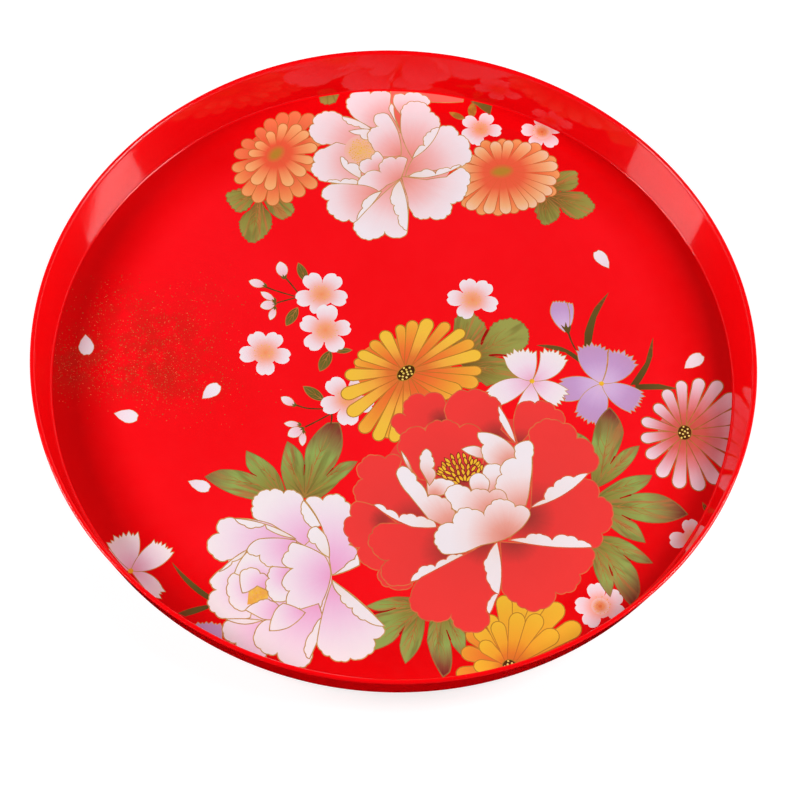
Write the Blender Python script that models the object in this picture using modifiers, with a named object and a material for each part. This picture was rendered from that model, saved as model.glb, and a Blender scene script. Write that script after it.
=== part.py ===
"""Round serving tray: a one-piece melamine moulding with a printed foil and its clear glaze on the floor.

Units are metres and +Z is up. The origin is the centre of the foot ring's underside, on the tray's axis, so
the tray stands on Z = 0. Each named object is one physical layer of the tray.
"""

import math

import bmesh
import bpy
from mathutils import Vector

# Driving dimensions. RIM_RADIUS is to the rim's outer corner before it is rounded: the tray is 350 mm across.
RIM_RADIUS = 0.17525
HEIGHT = 0.030
FLOOR_TOP = 0.0052
FLOOR_RADIUS = 0.1674
WALL_THICKNESS = 0.0024
FOOT_HEIGHT = 0.0020
FOOT_OUTER_RADIUS = 0.1490
FOOT_WIDTH = 0.0045
FOOT_DRAFT = 0.0006

# The two thin layers lie in a shallow seat in the floor, a gap apart so that they stay separate solids.
LAYER_THICKNESS = 0.0003
LAYER_GAP = 0.0003
SEAT_LAND = 0.0008

# Corner radii of the moulding.
INNER_FILLET = 0.0008
RIM_INNER_ROUND = 0.0007
RIM_OUTER_ROUND = 0.0009
HEEL_ROUND = 0.0060
FOOT_ROUND = 0.0006
FINE_ARC_STEPS = 3
HEEL_ARC_STEPS = 5

SEGMENTS = 96
MERGE_DISTANCE = 0.00002
SMOOTH_ANGLE = math.radians(35)

SEAT_DEPTH = 2 * (LAYER_THICKNESS + LAYER_GAP)
SEAT_RADIUS = FLOOR_RADIUS - SEAT_LAND
LAYER_RADIUS = SEAT_RADIUS - LAYER_GAP


def material(name, colour, roughness, metallic=0.0, alpha=1.0):
    """A Principled material; colour is linear RGB."""
    made = bpy.data.materials.new(name)
    made.use_nodes = True
    shader = made.node_tree.nodes["Principled BSDF"]
    shader.inputs["Base Color"].default_value = (*colour, 1.0)
    shader.inputs["Roughness"].default_value = roughness
    shader.inputs["Metallic"].default_value = metallic
    shader.inputs["Alpha"].default_value = alpha
    return made


def rounded_corner(before, corner, after, radius, steps):
    """Points of the arc that rounds one corner of a profile in the (radius, height) plane."""
    to_before = (before - corner).normalized()
    to_after = (after - corner).normalized()
    half_angle = to_before.angle(to_after) / 2
    centre = corner + (to_before + to_after).normalized() * radius / math.sin(half_angle)
    start = corner + to_before * radius / math.tan(half_angle) - centre
    end = corner + to_after * radius / math.tan(half_angle) - centre
    sweep = start.angle(end)
    points = []
    for step in range(steps + 1):
        share = step / steps
        blend = start * math.sin((1 - share) * sweep) + end * math.sin(share * sweep)
        points.append(centre + blend / math.sin(sweep))
    return points


def body_profile():
    """Section of the moulding from the axis, out over the floor, over the rim, and back under to the axis."""
    seat_floor = FLOOR_TOP - SEAT_DEPTH
    wall_run = RIM_RADIUS - WALL_THICKNESS - FLOOR_RADIUS
    slope = wall_run / (HEIGHT - FLOOR_TOP)
    heel_radius = RIM_RADIUS - slope * (HEIGHT - FOOT_HEIGHT)
    foot_inner_radius = FOOT_OUTER_RADIUS - FOOT_WIDTH
    # Each corner is (radius, height, rounding, steps of its arc).
    corners = [
        (0.0, seat_floor, 0.0, 0),
        (SEAT_RADIUS, seat_floor, 0.0, 0),
        (SEAT_RADIUS, FLOOR_TOP, 0.0, 0),
        (FLOOR_RADIUS, FLOOR_TOP, INNER_FILLET, FINE_ARC_STEPS),
        (RIM_RADIUS - WALL_THICKNESS, HEIGHT, RIM_INNER_ROUND, FINE_ARC_STEPS),
        (RIM_RADIUS, HEIGHT, RIM_OUTER_ROUND, FINE_ARC_STEPS),
        (heel_radius, FOOT_HEIGHT, HEEL_ROUND, HEEL_ARC_STEPS),
        (FOOT_OUTER_RADIUS, FOOT_HEIGHT, 0.0, 0),
        (FOOT_OUTER_RADIUS - FOOT_DRAFT, 0.0, FOOT_ROUND, FINE_ARC_STEPS),
        (foot_inner_radius + FOOT_DRAFT, 0.0, FOOT_ROUND, FINE_ARC_STEPS),
        (foot_inner_radius, FOOT_HEIGHT, 0.0, 0),
        (0.0, FOOT_HEIGHT, 0.0, 0),
    ]
    points = []
    for index, (radius, height, rounding, steps) in enumerate(corners):
        here = Vector((radius, height))
        if rounding == 0.0:
            points.append(here)
            continue
        before = Vector(corners[index - 1][:2])
        after = Vector(corners[index + 1][:2])
        points += rounded_corner(before, here, after, rounding, steps)
    return points


def turned(name, profile, finish, collection):
    """A solid of revolution about Z from a profile that starts and ends on the axis."""
    mesh = bpy.data.meshes.new(name)
    shape = bmesh.new()
    vertices = [shape.verts.new((point.x, 0.0, point.y)) for point in profile]
    for first, second in zip(vertices, vertices[1:]):
        shape.edges.new((first, second))
    shape.to_mesh(mesh)
    shape.free()
    mesh.materials.append(finish)
    part = bpy.data.objects.new(name, mesh)
    collection.objects.link(part)
    screw = part.modifiers.new("Turn", "SCREW")
    screw.axis = "Z"
    screw.steps = SEGMENTS
    screw.render_steps = SEGMENTS
    screw.use_merge_vertices = True
    screw.merge_threshold = MERGE_DISTANCE
    screw.use_smooth_shade = True
    return part


def disc(name, top, finish, collection):
    """One thin round layer of the floor, its upper face at the given height."""
    bpy.ops.mesh.primitive_cylinder_add(
        vertices=SEGMENTS,
        radius=LAYER_RADIUS,
        depth=LAYER_THICKNESS,
        location=(0.0, 0.0, top - LAYER_THICKNESS / 2),
    )
    part = bpy.context.object
    part.name = name
    part.data.name = name
    part.data.materials.append(finish)
    part.data.shade_smooth()
    part.data.set_sharp_from_angle(angle=SMOOTH_ANGLE)
    for owner in list(part.users_collection):
        owner.objects.unlink(part)
    collection.objects.link(part)
    return part


def main():
    for leftover in list(bpy.data.objects):
        bpy.data.objects.remove(leftover)
    collection = bpy.data.collections.new("round_floral_tray")
    bpy.context.scene.collection.children.link(collection)

    red_melamine = material("red_melamine", (0.84, 0.004, 0.010), 0.12)
    printed = material("printed_foil", (0.87, 0.012, 0.016), 0.45)
    glaze = material("clear_glaze", (1.0, 1.0, 1.0), 0.15, alpha=0.2)

    turned("tray_body", body_profile(), red_melamine, collection)
    foil_top = FLOOR_TOP - LAYER_THICKNESS - LAYER_GAP
    disc("printed_foil", foil_top, printed, collection)
    disc("clear_glaze", FLOOR_TOP, glaze, collection)


main()
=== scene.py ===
import math

import bpy
import numpy as np
from mathutils import Matrix, Quaternion, Vector, geometry


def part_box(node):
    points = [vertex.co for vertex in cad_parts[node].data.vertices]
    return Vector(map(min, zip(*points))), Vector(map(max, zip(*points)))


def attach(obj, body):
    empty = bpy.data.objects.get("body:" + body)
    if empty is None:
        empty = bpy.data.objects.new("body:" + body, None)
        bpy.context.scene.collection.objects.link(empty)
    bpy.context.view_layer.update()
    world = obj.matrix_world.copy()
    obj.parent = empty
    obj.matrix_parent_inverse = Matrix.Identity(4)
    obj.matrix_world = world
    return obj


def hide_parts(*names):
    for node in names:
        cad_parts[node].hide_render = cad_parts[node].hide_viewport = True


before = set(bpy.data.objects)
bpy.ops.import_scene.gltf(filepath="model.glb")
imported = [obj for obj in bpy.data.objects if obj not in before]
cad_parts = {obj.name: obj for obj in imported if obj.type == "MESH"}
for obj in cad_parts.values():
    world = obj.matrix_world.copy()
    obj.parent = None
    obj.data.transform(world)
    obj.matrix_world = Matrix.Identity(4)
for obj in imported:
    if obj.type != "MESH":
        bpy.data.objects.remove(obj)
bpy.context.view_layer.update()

# ------------------------------------------------------------------------------------------
# Sizes of the moulding, in metres
# ------------------------------------------------------------------------------------------
MM = 0.001
BODY_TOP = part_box("tray_body")[1]
FLOOR_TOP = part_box("clear_glaze")[1].z
TRAY_RADIUS = BODY_TOP.x
TRAY_HEIGHT = BODY_TOP.z

RIM_CORNER_RADIUS = TRAY_RADIUS + 0.00020
WALL_THICKNESS = 0.0024
FLOOR_RADIUS = 0.1674
SEAT_RADIUS = 0.1666
SEAT_DEPTH = 0.0012
FOOT_HEIGHT = 0.0020
FOOT_OUTER_RADIUS = 0.1490
FOOT_WIDTH = 0.0045
FOOT_DRAFT = 0.0006
JUNCTION_ROUND = 0.00095
RIM_INNER_ROUND = 0.00155
RIM_OUTER_ROUND = 0.0009
HEEL_ROUND = 0.0060
FOOT_ROUND = 0.0006
SUPPORT_DISTANCE = 0.0004
BODY_SEGMENTS = 288

WEAR_REACH = 0.0012
# Radii between which the red ground darkens into painted shade of the wall.
PAINTED_SHADE_RADII = (0.130, 0.152)

# The printed floor is drawn in millimetres about the tray's axis: x to the right, y away.
PRINT_RADIUS = SEAT_RADIUS / MM
PRINT_EDGE_STEPS = 720

# How finely arcs, in radians, and lines are stepped, and where a bulge counts as none.
ARC_STEP = 0.34
LINE_STEP = 1.6
STRAIGHT = 0.01

# A scallop's bulge, how much it varies, and how unevenly scallops and teeth are spaced.
RUFFLE_BULGE = 0.36
RUFFLE_SWELL = 0.3
KNOT_WANDER = 0.2

GOLDEN_ANGLE = 2.39996
BLOSSOM_STAMENS = 18

# The flat sheet's own grid, the points inside larger shapes, and the limits for what is dropped.
GRID_STEP = 3.0
LARGE_REACH = 8
RIM_INSET = 0.9
BORDER_MARGIN = 1.0
NEAR_POINT = 0.002
SLIVER_AREA = 1e-7
BATCH = 4000

# What the inks read at each vertex: a distance from the outline up to this limit, and a fan of
# streaks from the shape's root, FAN_LANES to the radian, with its own slice of the noise.
EDGE_LIMIT = 6.0
FAN_LANES = 22
FAN_STEP = 3.7

rng = np.random.default_rng(11)


# ------------------------------------------------------------------------------------------
# Materials
# ------------------------------------------------------------------------------------------
def linear(red, green, blue):
    """Linear RGBA of an 8-bit sRGB colour."""
    shares = (red / 255, green / 255, blue / 255)
    low = [share / 12.92 for share in shares]
    high = [((share + 0.055) / 1.055) ** 2.4 for share in shares]
    return (*[a if s <= 0.04045 else b for s, a, b in zip(shares, low, high)], 1.0)


class Tree:
    """Short calls for the shader nodes of one material, or of the world."""

    def __init__(self, owner, shader="Principled BSDF", coordinates="Object"):
        owner.use_nodes = True
        self.owner = owner
        self.nodes = owner.node_tree.nodes
        self.links = owner.node_tree.links
        self.shader = self.nodes[shader]
        self.place = self.add("TexCoord")[coordinates]

    def put(self, socket, value):
        if isinstance(value, bpy.types.NodeSocket):
            self.links.new(value, socket)
        else:
            socket.default_value = value

    def set(self, **values):
        """Inputs of the shader, with _ for each space in a name."""
        for name, value in values.items():
            self.put(self.shader.inputs[name.replace("_", " ")], value)

    def add(self, kind, inputs=None, **settings):
        """The outputs of a new node of this kind, with these settings, and inputs by name or number."""
        node = self.nodes.new("ShaderNode" + kind)
        for name, value in settings.items():
            setattr(node, name, value)
        for key, value in (inputs or {}).items():
            self.put(node.inputs[key], value)
        return node.outputs

    def math(self, kind, first, second=0.0, third=0.0, clamp=False):
        return self.add("Math", {0: first, 1: second, 2: third}, operation=kind, use_clamp=clamp)[0]

    def noise(self, scale, detail=2.0, vector=None):
        place = self.place if vector is None else vector
        return self.add("TexNoise", {"Scale": scale, "Detail": detail, "Vector": place})["Fac"]

    def stretch(self, vector, scale):
        return self.add("Mapping", {"Scale": scale, "Vector": vector})["Vector"]

    def attribute(self, name, output="Fac"):
        return self.add("Attribute", attribute_name=name)[output]

    def ramp(self, value, stops):
        colour = self.add("ValToRGB", {"Fac": value})["Color"]
        elements = colour.node.color_ramp.elements
        while len(elements) < len(stops):
            elements.new(0.5)
        for element, (position, shown) in zip(elements, stops):
            element.position = position
            element.color = shown
        return colour

    def span(self, value, low, high, to_low=0.0, to_high=1.0, kind="SMOOTHSTEP"):
        inputs = {"Value": value, "From Min": low, "From Max": high, "To Min": to_low, "To Max": to_high}
        return self.add("MapRange", inputs, interpolation_type=kind)["Result"]

    def mix(self, share, first, second, kind="MIX"):
        """A mix of two colours, whose sockets are numbers 6 and 7, and 2 for the result."""
        return self.add("Mix", {0: share, 6: first, 7: second}, data_type="RGBA", blend_type=kind)[2]

    def dim(self, colour, value):
        """The colour times a value."""
        return self.mix(1.0, colour, self.add("CombineColor", {0: value, 1: value, 2: value})[0], "MULTIPLY")

    def bump(self, height, strength, distance):
        return self.add("Bump", {"Height": height, "Strength": strength, "Distance": distance})["Normal"]


GLAZE = {"Coat_Weight": 1.0, "Coat_Roughness": 0.04, "Coat_IOR": 1.7}
INK_ROUGHNESS = 0.38


def under_glaze(tree, colour, roughness=INK_ROUGHNESS, metallic=0.0):
    """The finish that every printed colour shares: satin ink below a smooth clear glaze."""
    mottle = tree.span(tree.noise(38.0, 3.0), 0.3, 0.7, 0.98, 1.0)
    grain = tree.span(tree.noise(2600.0, 1.0), 0.25, 0.75, 0.985, 1.0)
    tone = tree.math("MULTIPLY", mottle, grain)
    tree.set(Base_Color=tree.dim(colour, tone))
    tree.set(Roughness=tree.span(tree.noise(160.0, 2.0), 0.3, 0.7, roughness - 0.05, roughness + 0.05))
    tree.set(Metallic=metallic, IOR=1.5, Specular_IOR_Level=0.1, **GLAZE)
    tree.set(Normal=tree.bump(tree.noise(420.0, 1.0), 0.08, 0.00004))
    return tree.owner


def petal_ink(name, *stops, edge=None, edge_width=1.0, streak=0.07, vein=None):
    """A colour from a petal's root to its tip, by stops of (place, red, green, blue), streaked lengthwise."""
    tree = Tree(bpy.data.materials.new(name))
    fan = tree.attribute("fan", "Vector")
    fine = tree.noise(1.0, 2.0, tree.stretch(fan, (1.6, 0.12, 1.0)))
    broad = tree.noise(1.0, 1.0, tree.stretch(fan, (0.35, 0.06, 1.0)))
    wander = tree.math("ADD", tree.math("SUBTRACT", fine, 0.5), tree.math("SUBTRACT", broad, 0.5))
    along = tree.math("ADD", tree.attribute("along"), tree.math("MULTIPLY", wander, streak))
    colour = tree.ramp(along, [(place, linear(*rgb)) for place, *rgb in stops])
    if vein is not None:
        lanes = tree.noise(1.0, 2.0, tree.stretch(fan, (0.55, 0.035, 1.0)))
        patches = tree.noise(1.0, 1.0, tree.stretch(fan, (0.12, 0.09, 1.0)))
        drawn = tree.math("MULTIPLY", tree.span(lanes, 0.52, 0.62), tree.span(patches, 0.35, 0.6, 0.25, 0.75))
        colour = tree.mix(drawn, colour, linear(*vein))
        shade = tree.span(tree.noise(1.0, 2.0, tree.stretch(fan, (0.3, 0.05, 2.0))), 0.5, 0.7, 0.0, 0.5)
        colour = tree.mix(shade, colour, linear(112, 92, 40))
    if edge is not None:
        rim = tree.span(tree.attribute("edge"), 0.0, edge_width, 0.85, 0.0)
        rim = tree.math("MULTIPLY", rim, tree.span(tree.attribute("along"), 0.45, 0.8))
        colour = tree.mix(rim, colour, linear(*edge))
    return under_glaze(tree, colour)


def plain_ink(name, rgb, darker, metallic=0.0, roughness=INK_ROUGHNESS):
    """A line or dot colour that varies a little along the stroke."""
    tree = Tree(bpy.data.materials.new(name))
    flow = tree.span(tree.noise(260.0, 2.0), 0.35, 0.65)
    colour = tree.mix(flow, linear(*darker), linear(*rgb))
    return under_glaze(tree, colour, roughness, metallic)


def red_ground():
    """The red ground, darker and purer red towards the wall as painted shade, with gold dust as thick as the
    vertex attribute says.
    """
    tree = Tree(bpy.data.materials.new("red_ground"))
    cloud = tree.span(tree.noise(9.0, 3.0), 0.35, 0.65)
    middle = tree.mix(cloud, linear(251, 11, 20), linear(254, 15, 26))
    # Painted shade: a darker, purer red towards the wall, where the wall shades the floor.
    border = tree.mix(cloud, linear(231, 0, 6), linear(236, 2, 9))
    radius = tree.add("VectorMath", {0: tree.place}, operation="LENGTH")["Value"]
    red = tree.mix(tree.span(radius, *PAINTED_SHADE_RADII), middle, border)
    dust = tree.attribute("along")
    patchy = tree.math("MULTIPLY", dust, tree.span(tree.noise(120.0, 4.0), 0.32, 0.62))
    haze = tree.math("MULTIPLY", patchy, 0.8, clamp=True)
    colour = tree.mix(haze, red, linear(206, 30, 20))
    for scale, size, share in ((1700.0, 0.5, 0.5), (900.0, 0.36, 0.3)):
        grains = tree.add("TexVoronoi", {"Scale": scale, "Vector": tree.place})
        first, second, third = tree.add("SeparateColor", {0: grains["Color"]})
        chosen = tree.math("LESS_THAN", first, tree.math("MULTIPLY", dust, share))
        round_grain = tree.math("LESS_THAN", grains["Distance"], tree.math("MULTIPLY", second, size))
        fleck = tree.math("MULTIPLY", chosen, round_grain)
        gold = tree.mix(third, linear(244, 112, 74), linear(168, 66, 26))
        colour = tree.mix(fleck, colour, gold)
    return under_glaze(tree, colour, 0.34)


def red_moulding():
    """Glossy red melamine: a faint flow pattern, orange peel, and handling wear on rim and foot."""
    tree = Tree(bpy.data.materials.new("red_melamine"))
    flow = tree.span(tree.noise(14.0, 4.0), 0.35, 0.65)
    colour = tree.mix(flow, linear(252, 4, 11), linear(255, 6, 13))
    fine = tree.span(tree.noise(900.0, 2.0), 0.3, 0.7, 0.97, 1.0)
    tree.set(Base_Color=tree.dim(colour, fine))
    worn = tree.attribute("wear")
    scuffs = tree.noise(700.0, 3.0, tree.stretch(tree.place, (1.0, 1.0, 0.15)))
    rubbed = tree.math("MULTIPLY", worn, tree.span(scuffs, 0.45, 0.75))
    base = tree.span(tree.noise(60.0, 3.0), 0.3, 0.7, 0.05, 0.08)
    tree.set(Roughness=tree.math("ADD", base, tree.math("MULTIPLY", rubbed, 0.25)))
    tree.set(IOR=1.41)
    tree.set(Normal=tree.bump(tree.noise(330.0, 2.0), 0.06, 0.00005))
    return tree.owner


WHITE_EDGE = (250, 240, 234)
INKS = {
    "ground": red_ground(),
    "blush": petal_ink(
        "petal_blush", (0.0, 238, 136, 124), (0.26, 246, 168, 162), (0.48, 248, 192, 193),
        (0.72, 248, 222, 227), (1.0, 247, 236, 243), edge=WHITE_EDGE, edge_width=0.9),
    "lilac_blush": petal_ink(
        "petal_lilac_blush", (0.0, 243, 166, 208), (0.24, 244, 186, 222), (0.5, 246, 208, 232),
        (0.78, 247, 228, 239), (1.0, 248, 237, 241), edge=WHITE_EDGE, edge_width=0.9),
    "fold": petal_ink("petal_fold", (0.0, 244, 222, 214), (0.4, 246, 234, 236), (1.0, 248, 239, 243)),
    "salmon": petal_ink("petal_salmon", (0.0, 226, 84, 62), (1.0, 246, 112, 100)),
    "coral": petal_ink(
        "petal_coral", (0.0, 150, 52, 46), (0.22, 196, 57, 53), (0.45, 238, 60, 57), (1.0, 245, 61, 58),
        edge=(236, 74, 58), edge_width=0.6, streak=0.05),
    "cream": petal_ink(
        "petal_cream", (0.0, 230, 138, 120), (0.25, 239, 166, 152), (0.5, 245, 206, 202),
        (0.72, 247, 230, 232), (1.0, 247, 237, 242), edge=WHITE_EDGE, edge_width=0.8),
    "orange": petal_ink(
        "petal_orange", (0.0, 228, 84, 54), (0.38, 240, 94, 62), (0.6, 246, 142, 90), (0.85, 250, 172, 112),
        (1.0, 249, 184, 126), edge=(240, 150, 92), edge_width=0.6),
    "orange_back": petal_ink(
        "petal_orange_back", (0.0, 218, 80, 48), (0.6, 240, 104, 66), (1.0, 246, 132, 86),
        edge=(240, 140, 86), edge_width=0.5),
    "orange_tip": petal_ink(
        "petal_orange_tip", (0.0, 226, 84, 54), (0.6, 238, 98, 64), (0.82, 246, 138, 82),
        (1.0, 248, 166, 104), edge=(246, 160, 96), edge_width=0.5),
    "peach": petal_ink(
        "petal_peach", (0.0, 237, 88, 58), (0.4, 240, 98, 66), (0.6, 245, 142, 92), (0.82, 247, 180, 128),
        (1.0, 247, 204, 172), edge=(244, 190, 150), edge_width=0.6),
    "yellow": petal_ink(
        "petal_yellow", (0.0, 214, 104, 50), (0.28, 232, 120, 52), (0.5, 248, 172, 66),
        (0.75, 248, 193, 66), (1.0, 248, 196, 62), edge=(244, 186, 60), edge_width=0.5),
    "amber": petal_ink(
        "petal_amber", (0.0, 224, 100, 50), (0.3, 240, 104, 48), (0.55, 244, 128, 52), (0.85, 246, 162, 56),
        (1.0, 248, 178, 62), edge=(246, 176, 62), edge_width=0.6),
    "marigold": petal_ink(
        "petal_marigold", (0.0, 212, 104, 44), (0.25, 226, 126, 44), (0.5, 240, 168, 48),
        (1.0, 244, 192, 54), edge=(240, 182, 56), edge_width=0.5),
    "tangerine": petal_ink(
        "petal_tangerine", (0.0, 214, 92, 42), (0.45, 232, 118, 46), (0.8, 240, 146, 50),
        (1.0, 240, 162, 52), edge=(238, 164, 60), edge_width=0.5),
    "daisy": petal_ink(
        "petal_daisy", (0.0, 200, 76, 54), (0.35, 218, 98, 90), (0.58, 230, 142, 148),
        (0.82, 239, 196, 208), (1.0, 246, 226, 236), edge=(230, 200, 204), edge_width=0.6),
    "cherry": petal_ink(
        "petal_cherry", (0.0, 247, 147, 96), (0.28, 250, 168, 138), (0.46, 249, 189, 184),
        (0.68, 248, 217, 224), (1.0, 248, 238, 244), edge=(243, 232, 234), edge_width=1.2),
    "rose": petal_ink(
        "petal_rose", (0.0, 243, 168, 198), (0.3, 245, 204, 226), (0.6, 247, 226, 238),
        (1.0, 247, 236, 238), edge=WHITE_EDGE, edge_width=0.7, streak=0.12),
    "lilac": petal_ink(
        "petal_lilac", (0.0, 226, 190, 222), (0.3, 216, 180, 224), (0.65, 202, 158, 208),
        (1.0, 200, 152, 198), edge=(214, 178, 212), edge_width=0.6, streak=0.14),
    "bud": petal_ink(
        "petal_bud", (0.0, 246, 172, 180), (0.6, 247, 212, 222), (1.0, 247, 230, 236), edge=WHITE_EDGE,
        edge_width=0.7),
    "loose": petal_ink(
        "petal_loose", (0.0, 245, 220, 230), (0.6, 246, 232, 242), (1.0, 248, 238, 243),
        edge=(238, 214, 208), edge_width=0.5),
    "leaf": petal_ink(
        "leaf_green", (0.0, 134, 108, 48), (0.3, 146, 136, 60), (0.6, 150, 166, 82), (1.0, 152, 168, 86),
        edge=(178, 146, 84), edge_width=0.7, streak=0.16, vein=(196, 128, 70)),
    "leaf_maroon": petal_ink(
        "leaf_green_maroon", (0.0, 134, 110, 50), (0.25, 146, 142, 64), (0.56, 150, 172, 88),
        (0.74, 146, 128, 72), (0.9, 138, 72, 52), (1.0, 126, 44, 40), edge=(172, 132, 78), edge_width=0.7,
        streak=0.12, vein=(190, 112, 66)),
    "leaf_olive": petal_ink(
        "leaf_olive", (0.0, 106, 88, 38), (0.5, 104, 100, 40), (1.0, 124, 104, 48), edge=(164, 132, 76),
        edge_width=0.5),
    "leaf_autumn": petal_ink(
        "leaf_autumn", (0.0, 112, 76, 34), (0.35, 134, 108, 48), (0.65, 150, 142, 66), (1.0, 160, 160, 80),
        edge=(168, 140, 70), edge_width=0.5, streak=0.25, vein=(204, 116, 66)),
    "leaf_dark": petal_ink(
        "leaf_dark", (0.0, 92, 68, 30), (0.6, 104, 84, 36), (1.0, 124, 66, 32), edge=(130, 92, 46),
        edge_width=0.4),
    "gold": plain_ink("gold_outline", (214, 166, 104), (196, 144, 80), 0.1, 0.34),
    "gold_pink": plain_ink("gold_on_cream", (214, 158, 96), (198, 132, 72), 0.1, 0.34),
    "gold_rib": plain_ink("gold_rib", (180, 138, 66), (168, 120, 56), 0.1, 0.34),
    "slit": plain_ink("red_between_leaves", (186, 12, 10), (160, 14, 8)),
    "leaf_gold": plain_ink("leaf_gold", (196, 138, 46), (164, 110, 40)),
    # Partly painted shade: a darker orange blossom middle, the print's warm centre deepened for the blossoms
    # beside the wall.
    "glow": petal_ink(
        "blossom_centre_painted_shade", (0.0, 228, 108, 56), (0.45, 236, 138, 96), (0.8, 244, 186, 170),
        (1.0, 246, 200, 196)),
    "coral_line": plain_ink("gold_on_coral", (226, 112, 68), (210, 94, 58)),
    "orange_line": petal_ink(
        "brown_on_orange", (0.0, 234, 90, 58), (0.44, 236, 98, 62), (0.62, 214, 108, 58),
        (1.0, 196, 112, 54)),
    "yellow_line": petal_ink(
        "brown_on_yellow", (0.0, 206, 104, 44), (0.35, 198, 112, 44), (0.6, 190, 128, 44),
        (1.0, 178, 126, 42)),
    "vein": plain_ink("leaf_vein", (186, 122, 62), (168, 100, 48)),
    "vein_dark": plain_ink("leaf_vein_dark", (150, 112, 60), (136, 96, 48)),
    "stem": plain_ink("stem", (116, 66, 32), (96, 54, 26)),
    "stamen": plain_ink("stamen_gold", (250, 196, 52), (240, 172, 44)),
    "pollen": plain_ink("pollen", (244, 186, 110), (240, 166, 100)),
    "pollen_cloud": petal_ink(
        "pollen_cloud", (0.0, 245, 188, 124), (0.45, 245, 186, 144), (0.8, 246, 188, 172),
        (1.0, 247, 190, 184)),
    "pollen_gold": plain_ink("pollen_gold", (246, 196, 88), (240, 172, 76)),
    "seed": plain_ink("seed_dot", (250, 226, 130), (244, 206, 96)),
    "disc": plain_ink("seed_disc", (92, 50, 14), (70, 38, 10)),
    "eye": petal_ink(
        "flower_eye", (0.0, 186, 134, 46), (1.0, 186, 134, 46), edge=(237, 96, 62), edge_width=3.4,
        streak=0.2),
    "deep": plain_ink("deep_maroon", (140, 40, 36), (120, 30, 30)),
}


# ------------------------------------------------------------------------------------------
# Outlines. Points are complex numbers. A corner is (x, y, bulge, ruffles, tooth), where what
# follows y is about the stretch from this corner to the next and may be left out. Its bulge is
# the tangent of a quarter of its arc's angle, positive outwards. Ruffles is how many round
# scallops it has, or with a minus sign how many teeth, and tooth is a tooth's height over its
# length.
# ------------------------------------------------------------------------------------------
def arc(start, end, bulge):
    """Points from start to just before end; a positive bulge bows to the right of travel."""
    if abs(bulge) < STRAIGHT:
        steps = max(1, math.ceil(abs(end - start) / LINE_STEP))
        return [start + (end - start) * step / steps for step in range(steps)]
    angle = 4 * math.atan(bulge)
    steps = max(2, math.ceil(abs(angle) / ARC_STEP), math.ceil(abs(end - start) / LINE_STEP))
    centre = (start + end) / 2 + 1j * (end - start) / (2 * math.tan(angle / 2))
    turn = [complex(math.cos(angle * k / steps), math.sin(angle * k / steps)) for k in range(steps)]
    return [centre + (start - centre) * part for part in turn]


def along_arc(start, end, bulge, shares):
    """Points at the given shares of an arc."""
    if abs(bulge) < STRAIGHT:
        return [start + (end - start) * share for share in shares]
    angle = 4 * math.atan(bulge)
    centre = (start + end) / 2 + 1j * (end - start) / (2 * math.tan(angle / 2))
    spin = [complex(math.cos(angle * share), math.sin(angle * share)) for share in shares]
    return [centre + (start - centre) * part for part in spin]


def frilled(start, end, bulge, frill):
    """How many scallops a well bowed stretch of a frilly petal has; 0 if it stays plain."""
    chord = abs(end - start)
    if not frill or bulge < 0.24 or chord < 1.3 * frill:
        return 0
    angle = 4 * math.atan(bulge)
    return max(2, round(chord * angle / (2 * math.sin(angle / 2)) / frill))


def outline(corners, frill=0.0):
    """The closed anticlockwise loop of a list of corners; frill is the length of scallops to add."""
    points = [complex(corner[0], corner[1]) for corner in corners]
    following = points[1:] + points[:1]
    area = sum((a.conjugate() * b).imag for a, b in zip(points, following))
    outward = 1 if area > 0 else -1
    loop = []
    for corner, start, end in zip(corners, points, following):
        bulge = outward * (corner[2] if len(corner) > 2 else 0.0)
        count = corner[3] if len(corner) > 3 else frilled(start, end, abs(bulge), frill)
        tooth = corner[4] if len(corner) > 4 else 0.5
        if count == 0:
            loop += arc(start, end, bulge)
            continue
        number = abs(count)
        shares = [k / number for k in range(number + 1)]
        for k in range(1, number):
            shares[k] = (k + KNOT_WANDER * math.sin(2.4 * k + start.real)) / number
        knots = along_arc(start, end, bulge, shares)
        for index, (first, last) in enumerate(zip(knots, knots[1:])):
            if count > 0:
                swell = 1 + RUFFLE_SWELL * math.sin(5.1 * index + end.imag)
                loop += arc(first, last, outward * RUFFLE_BULGE * swell)
            else:
                tip = (first + last) / 2 - 1j * outward * (last - first) * tooth
                loop += [first, tip]
    loop = np.array(loop)
    return loop if outward > 0 else loop[::-1]


def smooth_path(points, steps=6):
    """A smooth open line (a Catmull-Rom spline) through the points."""
    knots = [complex(*point) for point in points]
    if len(knots) == 2:
        return np.array(arc(knots[0], knots[1], 0.0) + [knots[1]])
    knots = [2 * knots[0] - knots[1]] + knots + [2 * knots[-1] - knots[-2]]
    line = []
    for a, b, c, d in zip(knots, knots[1:], knots[2:], knots[3:]):
        for step in range(steps):
            t = step / steps
            bend = (2 * a - 5 * b + 4 * c - d) * t * t
            line.append(0.5 * (2 * b + (c - a) * t + bend + (3 * b - a - 3 * c + d) * t**3))
    return np.array(line + [knots[-2]])


def moved(shape, root, tip):
    """A shape drawn from 0 to 1 on the x axis, placed with its root and tip there."""
    return root + np.asarray(shape) * (tip - root)


def circle(steps):
    """Points once round the unit circle."""
    return np.exp(1j * np.linspace(0, 2 * np.pi, steps + 1)[:-1])


SHAPES = []


def patch(piece, ink, loop, root, reach, line=None, width=0.0):
    """One printed shape, on top of all those before it. Its colour runs from root out to reach."""
    shape = {"piece": piece, "ink": ink, "loop": loop, "root": root, "reach": reach}
    SHAPES.append({**shape, "line": line, "half": width / 2, "open": False})


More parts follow.
